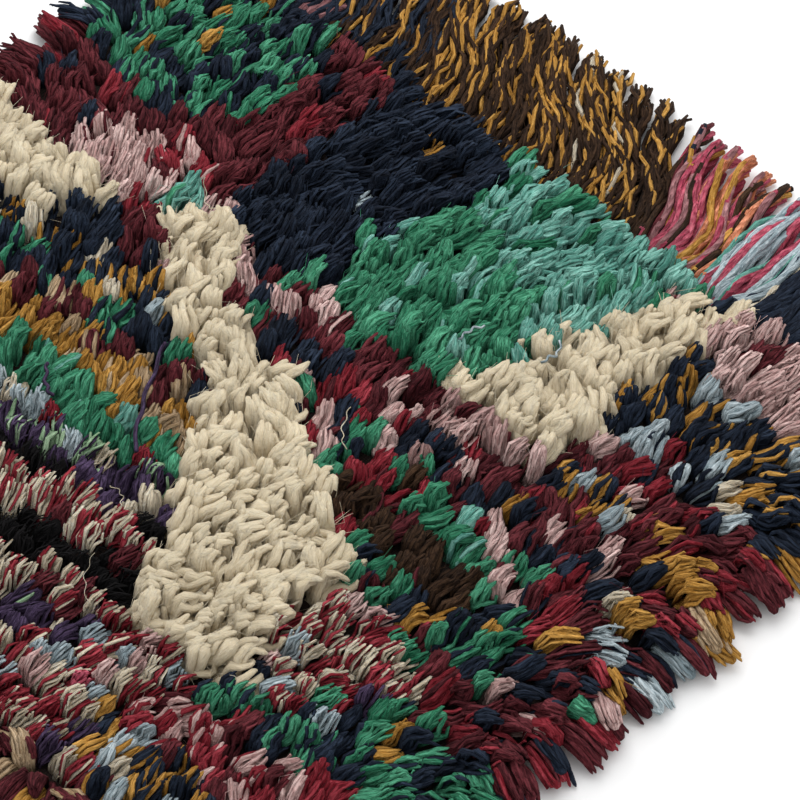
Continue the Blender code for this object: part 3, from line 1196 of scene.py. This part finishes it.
    def cover_parting(self) -> None:
        """Knots tufts along the near edge, where the pile and the hanging locks part."""
        side = self.width / 2 - 2 * self.knot_pitch
        y = self.parting - self.length / 2
        for index in range(int(2 * side / self.knot_pitch) + 1):
            heading = self.dice.choice((-1, 1)) * self.dice.uniform(1.1, 2.3)
            self.knot(index * self.knot_pitch - side, y + self.dice.uniform(-0.003, 0.003), heading)

    def knot(self, x: float, y: float, heading: float, rim_cut: Cut | None = None) -> None:
        """Ties one tuft.

        Args:
            x: its place along the rows, in metres from the middle.
            y: its place towards the fringe, in metres from the middle.
            heading: the way it leans, in radians from +Y towards +X.
            rim_cut: its cut, where that is not its blend's own.
        """
        dice = self.dice
        blur = self.PLAN_BLUR
        plan_x = (x + self.plan_reach * math.sin(heading)) / CM + dice.uniform(-blur, blur)
        plan_y = (y + self.plan_reach * math.cos(heading)) / CM + dice.uniform(-blur, blur)
        blend = self.blend_at(plan_x, plan_y)
        cut = rim_cut or blend.cut
        tuft_yarn = blend.pick(dice)
        spot = Vector((x, y, 0.0)) * self.likeness
        snaking = self.PHASE_SWING * noise.noise(spot + Vector(self.OTHER_NOISE))
        tuft = Tuft(
            heading=heading + self.HEADING_SWING * noise.noise(spot) + dice.gauss(0.0, self.HEADING_JITTER),
            lift=cut.lift + dice.uniform(-self.LIFT_JITTER, self.LIFT_JITTER),
            phase=snaking + dice.gauss(0.0, self.PHASE_JITTER),
            length=dice.uniform(cut.shortest, cut.longest),
            tone=dice.gauss(1.0, cut.tone_swing),
        )
        if not rim_cut:
            tuft.length *= 1 + self.rim_growth * max(0.0, 1 - (self.width / 2 - x) / self.turn_right)
        for layer in (cut.matted_bed(), cut, cut.loose_hairs()):
            self.fill(x, y, tuft, layer, blend, tuft_yarn)

    def fill(self, x: float, y: float, tuft: Tuft, cut: Cut, blend: Blend, tuft_yarn: Yarn) -> None:
        """Lays the strands of one layer of a tuft, the outer ones first.

        Args:
            x: the tuft's place along the rows, in metres from the middle.
            y: its place towards the fringe.
            tuft: how it lies.
            cut: the cut of the layer.
            blend: the yarns of its patch.
            tuft_yarn: the yarn that most of its strands are.
        """
        dice = self.dice
        offsets = [-1 + 2 * (index + dice.uniform(0.2, 0.8)) / cut.strands for index in range(cut.strands)]
        for offset in sorted(offsets, key=lambda value: -abs(value) + dice.uniform(-0.25, 0.25)):
            yarn = blend.mingle(tuft_yarn, dice) if cut.strands > 1 else tuft_yarn
            radius = cut.radius * dice.uniform(0.86, 1.16)
            root = (
                x + offset * cut.spread * math.cos(tuft.heading) + dice.uniform(-0.001, 0.001),
                y - offset * cut.spread * math.sin(tuft.heading) + dice.uniform(-0.001, 0.001),
            )
            points = self.strand(root, tuft, offset, radius, cut)
            points[:, 1] += self.centre_y
            if radius > HAIR_RADIUS * 2:
                self.relief.press(points[1:], radius * self.PRESS, cut.flat)
            tone = tuft.tone * dice.gauss(1.0, 0.6 * cut.tone_swing)
            tone = min(max(tone, self.DARKEST), self.LIGHTEST)
            self.basket.add(Part.PILE, yarn, cut.sides, points, self.radii(cut, radius), tone, cut.flat)

    def radii(self, cut: Cut, radius: float) -> np.ndarray:
        """Gives a strand's radius at each ring.

        Args:
            cut: how the strand is cut.
            radius: its mean radius.

        Returns:
            The radii: thinner at the root, uneven along, and rounded off at the tip.
        """
        share = np.linspace(0, 1, cut.rings)
        radii = radius * (0.72 + 0.28 * np.minimum(share / 0.35, 1.0))
        radii *= 1 + np.array([self.dice.uniform(-cut.uneven, cut.uneven) for _ in range(cut.rings)])
        thinning = np.clip((share - cut.taper) / (1 - cut.taper), 0.0, 1.0)
        return radii * (1 - (1 - cut.tip) * thinning**1.5)

    def strand(self, root: Point, tuft: Tuft, offset: float, radius: float, cut: Cut) -> np.ndarray:
        """Lays one strand from its root until it rests.

        Args:
            root: where it leaves the ground.
            tuft: the tuft that it belongs to.
            offset: its place across the tuft, from -1 to 1.
            radius: its radius.
            cut: how the tuft is cut.

        Returns:
            The strand's middle line, one row for each ring, with a short last step for a blunt tip.
        """
        dice = self.dice
        length = tuft.length * cut.reach * (1 - cut.crown * offset**2) * dice.uniform(0.93, 1.05)
        top = self.ceiling - radius * cut.flat
        own = dice.uniform(0, math.tau)
        x, y = root
        z = self.ground - self.ROOT_DEPTH
        blunt = radius * self.BLUNT_STEP
        slopes = (tuft.lift, self.CREST_PITCH, cut.drop, cut.curl)
        points = [(x, y, z)]
        for index in range(1, cut.rings):
            share = (index - 0.5) / (cut.rings - 1)
            last = index == cut.rings - 1
            step = blunt if last else (length - blunt) / (cut.rings - 2)
            way = tuft.heading + offset * cut.fan * math.cos(math.pi * share * 0.85)
            snaking = cut.wander * math.sin(tuft.phase + share * self.SNAKE)
            way += snaking + cut.stray * math.sin(own + share * self.STRAY_WAY)
            pitch = math.radians(np.interp(share, self.PITCH_SHARES, slopes))
            pitch += cut.stray * math.cos(own + share * self.STRAY_PITCH)
            rise = step * math.sin(pitch)
            level = step * math.cos(pitch)
            ahead_x = x + level * math.sin(way)
            ahead_y = y + level * math.cos(way)
            rest = self.relief.over(ahead_x, ahead_y + self.centre_y) + radius * cut.flat * cut.sunk
            climb = min(max(z + rise, rest, radius * cut.flat), top) - z
            climb = min(max(climb, -step), step * self.STEEPEST)
            if climb > rise:
                level = math.sqrt(max(step**2 - climb**2, (self.LEVEL_LEFT * step) ** 2))
                ahead_x = x + level * math.sin(way)
                ahead_y = y + level * math.cos(way)
            x, y, z = ahead_x, ahead_y, z + climb
            points.append((x, y, z))
        return np.array(points)

    def lay_stray(self, stray: StrayYarn) -> None:
        """Lays one loose yarn over the finished pile.

        Args:
            stray: where it lies and what it is.
        """
        share = np.linspace(0, 1, self.STRAY_STATIONS)
        start = np.array(stray.start) * CM
        run = np.array(stray.end) * CM - start
        across = np.array([run[1], -run[0]]) / np.linalg.norm(run)
        bow = stray.bow * CM * np.sin(share * math.pi) + 0.0015 * np.sin(share * 17.0)
        spots = start + share[:, None] * run + bow[:, None] * across
        spots[:, 1] += self.centre_y
        heights = np.array([self.relief.over(*spot) for spot in spots])
        for _ in range(self.STRAY_ROUNDS):
            padded = np.pad(heights, 1, mode="edge")
            heights = np.maximum(heights, (padded[:-2] + padded[2:]) / 2)
        heights = np.minimum(heights + stray.radius * 0.6, self.ceiling - stray.radius)
        points = np.column_stack([spots, heights])
        radii = np.full(self.STRAY_STATIONS, stray.radius)
        self.basket.add(Part.PILE, stray.yarn, 5, points, radii)


@dataclass(frozen=True)
class RopeCut:
    """How a fringe bundle is made up.

    ropes is how many ropes it has and yarns how many yarns each of them. radius is half a yarn's
    thickness, ply_offset how far its middle lies from its rope's, and twist the metres in a full turn
    of the rope. wander is how much a rope snakes by itself, fan how far the ropes open, and sides the
    faces round a yarn.
    """

    ropes: int
    yarns: int
    radius: float
    ply_offset: float
    twist: float
    wander: float
    fan: float
    sides: int = 4


@dataclass(frozen=True)
class FringeZone:
    """A stretch of the fringe: where it ends along X in metres, its yarns, its ropes, and how many
    degrees they lean from +Y towards +X."""

    end: float
    blend: Blend
    ropes: RopeCut
    lean: float


PLIED = RopeCut(5, 2, 0.0024, 0.0027, 0.060, 0.24, 0.18)
SMOOTH = RopeCut(9, 1, 0.0036, 0.0, 1.0, 0.10, 0.28, 5)
TIGHT = RopeCut(9, 1, 0.0034, 0.0, 1.0, 0.07, 0.24, 6)
HAIR = RopeCut(1, 1, HAIR_RADIUS, 0.0, 1.0, 0.6, 0.0)
BROWN_GOLD = mix(FINE, brown=0.71, gold=0.28, ivory=0.01)
PINK_CORAL = mix(FINE, pink=0.34, coral=0.32, mauve=0.20, gold=0.11, brown=0.03)
DARK_MAUVE = mix(FINE, maroon=0.26, mauve=0.26, pink=0.14, gold=0.14, navy=0.08, brown=0.12)
SKY_TEAL = mix(FINE, sky=0.52, pink=0.32, teal=0.12, mint=0.04)
NAVY_ONLY = mix(FINE, navy=0.92, ivory=0.08)
ROSE_SKY = mix(FINE, mauve=0.42, sky=0.32, navy=0.26)
NAVY_BROWN = mix(FINE, navy=0.40, brown=0.45, gold=0.15)

FRINGE_ZONES: tuple[FringeZone, ...] = (
    FringeZone(-0.30, ROSE_SKY, SMOOTH, -4.0),
    FringeZone(-0.18, NAVY_BROWN, PLIED, -14.0),
    FringeZone(-0.05, BROWN_GOLD, PLIED, -28.0),
    FringeZone(0.122, BROWN_GOLD, PLIED, -35.0),
    FringeZone(0.146, DARK_MAUVE, SMOOTH, -25.0),
    FringeZone(0.205, PINK_CORAL, SMOOTH, -12.0),
    FringeZone(0.250, SKY_TEAL, TIGHT, 5.0),
    FringeZone(0.310, NAVY_ONLY, SMOOTH, 10.0),
    FringeZone(0.470, ROSE_SKY, SMOOTH, 7.0),
)


@dataclass
class Fringe:
    """The fringe: bundles of long yarns that are knotted close to the weave and lie on the floor.

    start is where the weave ends, width how wide it is, pitch how far apart the bundles are, and
    knot_at how far from the weave their knots lie. stretch is how much longer the yarns are than the
    solids' strands, bed_radius half the thickness of the matted lock under each bundle, ceiling as
    high as any yarn may reach, and tone_swing how much yarns differ in lightness.

    ROOT_X, ROOT_Y and ROOT_Z are where a rope starts: how far the outer ropes are to the side, how
    far inside the weave and how high. KNOT_HEIGHT is how high ropes pass over the knot, as far as
    KNOT_SHARE of their length, and FALL how steeply they come down behind it. PRESS is the share of
    a rope's thickness that later ropes rest on. The WRAP values are those of a knot, which takes
    WRAPS yarns, and HAIRS is how many loose fibres lie on a plied bundle.
    """

    ROOT_X: ClassVar[float] = 0.007
    ROOT_Y: ClassVar[float] = 0.003
    ROOT_Z: ClassVar[float] = 0.006
    KNOT_HEIGHT: ClassVar[float] = 0.013
    KNOT_SHARE: ClassVar[float] = 0.12
    FALL: ClassVar[float] = 0.35
    PRESS: ClassVar[float] = 0.8
    WRAP_STATIONS: ClassVar[int] = 15
    WRAP_TURNS: ClassVar[float] = 1.7
    WRAP_LENGTH: ClassVar[float] = 0.007
    WRAPS: ClassVar[int] = 2
    HAIRS: ClassVar[int] = 4

    relief: Relief
    basket: Basket
    start: float
    width: float
    reach: float
    pitch: float = 0.0130
    knot_at: float = 0.014
    knot_radius: float = 0.0062
    wrap_radius: float = 0.0028
    stretch: float = 1.12
    bed_radius: float = 0.0066
    ceiling: float = 0.026
    tone_swing: float = 0.08
    rings: int = 16
    dice: random.Random = field(default_factory=lambda: random.Random(17))

    def zone_at(self, x: float) -> FringeZone:
        """Gives the stretch of the fringe that a spot along X lies in."""
        for zone in FRINGE_ZONES:
            if x < zone.end:
                return zone
        return FRINGE_ZONES[-1]

    def lean_at(self, x: float) -> float:
        """Gives how far the yarns lean at a spot, in radians, eased between the stretches."""
        leans = [self.zone_at(x + shift * self.pitch).lean for shift in (-1.5, -0.5, 0.5, 1.5)]
        return math.radians(sum(leans) / len(leans))

    def lay(self) -> None:
        """Ties every bundle."""
        bundles = int(self.width / self.pitch)
        order = list(range(bundles))
        self.dice.shuffle(order)
        for index in order:
            x = (index + 0.5) * self.pitch - self.width / 2 + self.dice.uniform(-0.002, 0.002)
            self.bundle(x)

    def bundle(self, x: float) -> None:
        """Ties one bundle.

        Args:
            x: its place along the weave's end.
        """
        dice = self.dice
        zone = self.zone_at(x + dice.uniform(-0.006, 0.006))
        lean = self.lean_at(x) + dice.gauss(0.0, 0.04)
        sway = dice.uniform(0.12, 0.28)
        phase = dice.uniform(-0.4, 0.6)
        cut = zone.ropes
        bed = replace(cut, radius=self.bed_radius, ply_offset=0.0, wander=0.05)
        path = self.rope_path(x, 0.0, lean, sway, phase, bed, 0.9)
        radii = np.full(self.rings, self.bed_radius)
        radii[-1] *= 0.5
        main_yarn = zone.blend.shares[0][0]
        self.basket.add(Part.FRINGE, main_yarn, cut.sides, path, radii, 0.85, 0.6)
        wrap_yarn = zone.blend.pick(dice)
        knot_y = self.start + self.knot_at + dice.uniform(-0.003, 0.003)
        for _ in range(self.WRAPS):
            self.wrap(x, knot_y + dice.uniform(-0.003, 0.003), wrap_yarn)
        for index in range(cut.ropes):
            side = -1 + 2 * (index + dice.uniform(0.2, 0.8)) / cut.ropes
            path = self.rope_path(x, side, lean, sway, phase, cut, 1.0)
            self.ply(path, zone)
        for _ in range(self.HAIRS if cut is PLIED else 0):
            self.hair(x, lean, main_yarn)

    def hair(self, x: float, lean: float, yarn: Yarn) -> None:
        """Lays one loose fibre over a bundle.

        Args:
            x: the bundle's place along the weave's end.
            lean: the way the bundle leans, in radians.
            yarn: the yarn that the fibre comes from.
        """
        dice = self.dice
        side = dice.uniform(-1, 1)
        phase = dice.uniform(0, math.tau)
        path = self.rope_path(x, side, lean, 0.3, phase, HAIR, dice.uniform(0.6, 1.0))
        path[1:-1, 2] += HAIR_RADIUS * 2
        self.basket.add(Part.FRINGE, yarn, 3, path, np.full(self.rings, HAIR_RADIUS), 1.15)

    def wrap(self, x: float, y: float, yarn: Yarn) -> None:
        """Winds one yarn round a bundle as its knot.

        Args:
            x: the bundle's place along the weave's end.
            y: the knot's place.
            yarn: the yarn.
        """
        dice = self.dice
        share = np.linspace(0, 1, self.WRAP_STATIONS)
        angle = share * math.tau * self.WRAP_TURNS + dice.uniform(0, math.tau)
        radius = self.knot_radius * dice.uniform(0.85, 1.1)
        points = np.stack(
            [
                x + radius * np.cos(angle),
                y + (share - 0.5) * self.WRAP_LENGTH + 0.0015 * np.sin(angle + 0.6),
                radius + self.wrap_radius * 0.5 + radius * np.sin(angle) * 0.85,
            ],
            1,
        )
        points[:, 2] = np.maximum(points[:, 2], self.wrap_radius)
        radii = np.full(len(share), self.wrap_radius) * dice.uniform(0.9, 1.1)
        self.basket.add(Part.FRINGE, yarn, 5, points, radii, dice.gauss(1.0, self.tone_swing))
        self.relief.press(points, self.wrap_radius)

    def rope_path(
        self, x: float, side: float, lean: float, sway: float, phase: float, cut: RopeCut, extent: float
    ) -> np.ndarray:
        """Lays one rope of a bundle from the weave over the knot and along the floor.

        Args:
            x: the bundle's place along the weave's end.
            side: the rope's place in the bundle, from -1 to 1.
            lean: the way the bundle leans, in radians.
            sway: how strongly it curves to and fro.
            phase: where that curve starts.
            cut: how the rope is made up.
            extent: how long it is beside the others.

        Returns:
            The rope's middle line, one row for each ring.
        """
        dice = self.dice
        length = self.reach * self.stretch * extent / max(0.74, math.cos(lean))
        length *= dice.uniform(0.92, 1.06)
        step = length / (self.rings - 1)
        thickness = cut.radius + cut.ply_offset * 0.7
        x += side * self.ROOT_X
        y = self.start - self.ROOT_Y
        z = self.ROOT_Z
        own = dice.uniform(0, math.tau)
        points = [(x, y, z)]
        for index in range(1, self.rings):
            share = index / (self.rings - 1)
            way = lean * min(1.0, 0.15 + share * 1.7) + side * cut.fan * math.cos(share * 3.6)
            way += sway * math.cos(phase + share * 6.0) + cut.wander * math.sin(own + share * 17.0)
            x += step * math.sin(way)
            y += step * math.cos(way)
            rest = self.relief.over(x, y) + thickness * 0.55
            free = self.KNOT_HEIGHT if share < self.KNOT_SHARE else z - step * self.FALL
            z += max(min(max(free, rest, thickness) - z, step * 0.7), -step * 0.5)
            z = max(min(z, self.ceiling - thickness), thickness)
            points.append((x, y, z))
        line = np.array(points)
        if thickness > HAIR_RADIUS * 2:
            self.relief.press(line[1:], thickness * self.PRESS, self.PRESS)
        return line

    def ply(self, path: np.ndarray, zone: FringeZone) -> None:
        """Winds a rope's yarns round its middle line.

        Args:
            path: the rope's middle line.
            zone: the stretch of fringe, with its yarns and the way its ropes are made up.
        """
        dice = self.dice
        cut = zone.ropes
        tangent = np.gradient(path, axis=0)
        across = np.stack([tangent[:, 1], -tangent[:, 0], np.zeros(len(path))], 1)
        across /= np.linalg.norm(across, axis=1, keepdims=True)
        metres = np.concatenate([[0.0], np.cumsum(np.linalg.norm(np.diff(path, axis=0), axis=1))])
        start = dice.uniform(0, math.tau)
        for index in range(cut.yarns):
            turn = metres / cut.twist * math.tau * dice.uniform(0.94, 1.06)
            turn = turn + start + index * math.tau / cut.yarns
            offset = cut.ply_offset * dice.uniform(0.85, 1.15)
            points = path + across * (offset * np.cos(turn))[:, None]
            points[:, 2] += offset * 0.75 * np.sin(turn)
            radius = cut.radius * dice.uniform(0.88, 1.12)
            points[:, 2] = np.maximum(points[:, 2], radius)
            radii = radius * (1 + np.array([dice.uniform(-0.09, 0.09) for _ in path]))
            radii[-1] *= 0.7
            yarn = zone.blend.pick(dice)
            tone = dice.gauss(1.0, self.tone_swing)
            self.basket.add(Part.FRINGE, yarn, cut.sides, points, radii, tone)


@dataclass(frozen=True)
class WeaveFinish:
    """The plain weave of the ground: a dull brown cloth with ribs across it."""

    warp: Colour = (0.034, 0.022, 0.018)
    weft: Colour = (0.012, 0.008, 0.007)
    threads: float = 160.0

    def make(self) -> bpy.types.Material:
        """Builds the material and returns it."""
        graph = Graph("ground_weave")
        place = graph.add("TexCoord", "Object", {})
        inputs = {"Vector": place, "Scale": self.threads, "Distortion": 1.4}
        ribs = graph.add("TexWave", "Fac", inputs, bands_direction="Y")
        inputs = {"Vector": place, "Scale": self.threads * 0.6, "Distortion": 1.0}
        crossing = graph.add("TexWave", "Fac", inputs, bands_direction="X")
        cloth = graph.product(ribs, crossing)
        colour = graph.between(cloth, self.weft, self.warp)
        normal = graph.add("Bump", "Normal", {"Strength": 0.6, "Distance": 0.0008, "Height": cloth})
        graph.feed(
            graph.shader,
            {"Base Color": colour, "Normal": normal, "Roughness": 0.95, "Specular IOR Level": 0.15},
        )
        return graph.material


@dataclass
class WovenGround:
    """The woven ground that the tufts are knotted into: a thin sheet with low ribs across its top."""

    SHARP: ClassVar[float] = 50.0

    width: float
    length: float
    centre_y: float
    thickness: float = 0.0045
    rib: float = 0.0006
    rows: int = 74
    columns: int = 10
    finish: WeaveFinish = field(default_factory=WeaveFinish)

    def make(self) -> bpy.types.Object:
        """Builds the sheet and returns it."""
        bm = bmesh.new()
        bmesh.ops.create_grid(bm, x_segments=self.columns, y_segments=self.rows, size=0.5)
        bmesh.ops.scale(bm, verts=bm.verts, vec=(self.width, self.length, 1.0))
        bmesh.ops.translate(bm, verts=bm.verts, vec=(0.0, self.centre_y, 0.0))
        raised = bmesh.ops.extrude_face_region(bm, geom=bm.faces[:])["geom"]
        top = [part for part in raised if isinstance(part, bmesh.types.BMVert)]
        bmesh.ops.translate(bm, verts=top, vec=(0.0, 0.0, self.thickness))
        for vertex in top:
            row = round((vertex.co.y - self.centre_y + self.length / 2) / self.length * self.rows)
            vertex.co.z -= self.rib * (row % 2)
        bmesh.ops.recalc_face_normals(bm, faces=bm.faces)
        mesh = mesh_of("woven_ground", bm, self.finish.make())
        mesh.shade_smooth()
        mesh.set_sharp_from_angle(angle=math.radians(self.SHARP))
        piece = stand("woven_ground", mesh)
        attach(piece, BODY)
        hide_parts("rug_body")
        return piece


@dataclass(frozen=True)
class FloorFinish:
    """The plain pale studio floor."""

    colour: Colour = (0.90, 0.90, 0.90)

    def make(self) -> bpy.types.Material:
        """Builds the material and returns it."""
        graph = Graph("studio_floor")
        graph.feed(graph.shader, {"Base Color": (*self.colour, 1.0), "Roughness": 0.9})
        return graph.material


@dataclass
class Studio:
    """The floor, the soft light and the camera at the photo's angle.

    azimuth and elevation say where the camera stands round the rug, distance how far off, target the
    spot it looks at, and view_width how wide the frame is there. key_place is where the soft light
    hangs.
    """

    azimuth: float = 45.0
    elevation: float = 48.0
    distance: float = 3.2
    view_width: float = 0.72
    target: Place = (0.118, 0.042, 0.030)
    sensor: float = 36.0
    floor_size: float = 14.0
    floor_drop: float = 0.0004
    key_place: Place = (-0.9, 1.3, 2.3)
    key_power: float = 50.0
    key_size: float = 2.4
    fill_strength: float = 0.88
    floor: FloorFinish = field(default_factory=FloorFinish)

    def build(self) -> None:
        """Makes the floor, lights and camera."""
        self.make_floor()
        self.make_lights()
        self.make_camera()
        bpy.context.scene.view_settings.view_transform = "Standard"

    def make_floor(self) -> None:
        """Lays the floor just under the rug."""
        bm = bmesh.new()
        bmesh.ops.create_grid(bm, x_segments=1, y_segments=1, size=self.floor_size / 2)
        floor = stand("studio_floor", mesh_of("studio_floor", bm, self.floor.make()))
        floor.location.z = -self.floor_drop

    def make_lights(self) -> None:
        """Hangs a broad soft light over the far side and lights the room evenly."""
        data = bpy.data.lights.new("soft_box", "AREA")
        data.shape = "SQUARE"
        data.size = self.key_size
        data.energy = self.key_power
        light = stand("soft_box", data)
        light.location = self.key_place
        light.rotation_mode = "QUATERNION"
        light.rotation_quaternion = (light.location - Vector(self.target)).to_track_quat("Z", "Y")
        world = bpy.data.worlds.new("studio_air")
        world.use_nodes = True
        air = world.node_tree.nodes["Background"]
        air.inputs["Color"].default_value = (1.0, 1.0, 1.0, 1.0)
        air.inputs["Strength"].default_value = self.fill_strength
        bpy.context.scene.world = world

    def make_camera(self) -> None:
        """Stands the camera at the photo's angle."""
        turn = math.radians(self.azimuth)
        rise = math.radians(self.elevation)
        level = math.cos(rise)
        back = Vector((math.sin(turn) * level, -math.cos(turn) * level, math.sin(rise)))
        data = bpy.data.cameras.new("camera")
        data.sensor_width = self.sensor
        data.lens = self.sensor * self.distance / self.view_width
        camera = stand("camera", data)
        camera.location = Vector(self.target) + back * self.distance
        camera.rotation_mode = "QUATERNION"
        camera.rotation_quaternion = (-back).to_track_quat("-Z", "Y")
        bpy.context.scene.camera = camera


@dataclass
class Rug:
    """The whole rug: woven ground, fringe and pile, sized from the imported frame."""

    RELIEF_MARGIN: ClassVar[float] = 0.04

    weave_width: float = 0.92
    weave_length: float = 0.80
    pieces: list[bpy.types.Object] = field(default_factory=list)

    def build(self) -> None:
        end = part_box("end_fringe")[0].y
        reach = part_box("end_fringe")[1].y - end
        centre_y = end - self.weave_length / 2
        ground = WovenGround(self.weave_width, self.weave_length, centre_y)
        sheet = ground.make()
        report(sheet)
        margin = self.RELIEF_MARGIN
        start = (CAD_LOW.x - margin, CAD_LOW.y - margin)
        relief = Relief(start, (CAD_HIGH.x + margin, CAD_HIGH.y + margin))
        edge = self.weave_width / 2
        relief.raise_block((-edge, end - self.weave_length), (edge, end), ground.thickness)
        basket = Basket()
        Fringe(relief, basket, end, self.weave_width, reach).lay()
        Pile(relief, basket, self.weave_width, self.weave_length, centre_y, ground.thickness).lay()
        materials = {yarn: FINISHES[yarn].make(yarn) for yarn in Yarn}
        for part, yarn in basket.held:
            piece = basket.make(part, yarn, materials[yarn])
            if part is Part.FRINGE:
                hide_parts("end_fringe")
            self.pieces.append(piece)
            report(piece)


def report(piece: bpy.types.Object) -> None:
    """Logs a finished piece with its number of triangles."""
    triangles = sum(len(face.vertices) - 2 for face in piece.data.polygons)
    LOG.info("%s: %d triangles", piece.name, triangles)


def main() -> None:
    """Builds the studio and the rug."""
    Studio().build()
    Rug().build()


if __name__ == "__main__":
    main()
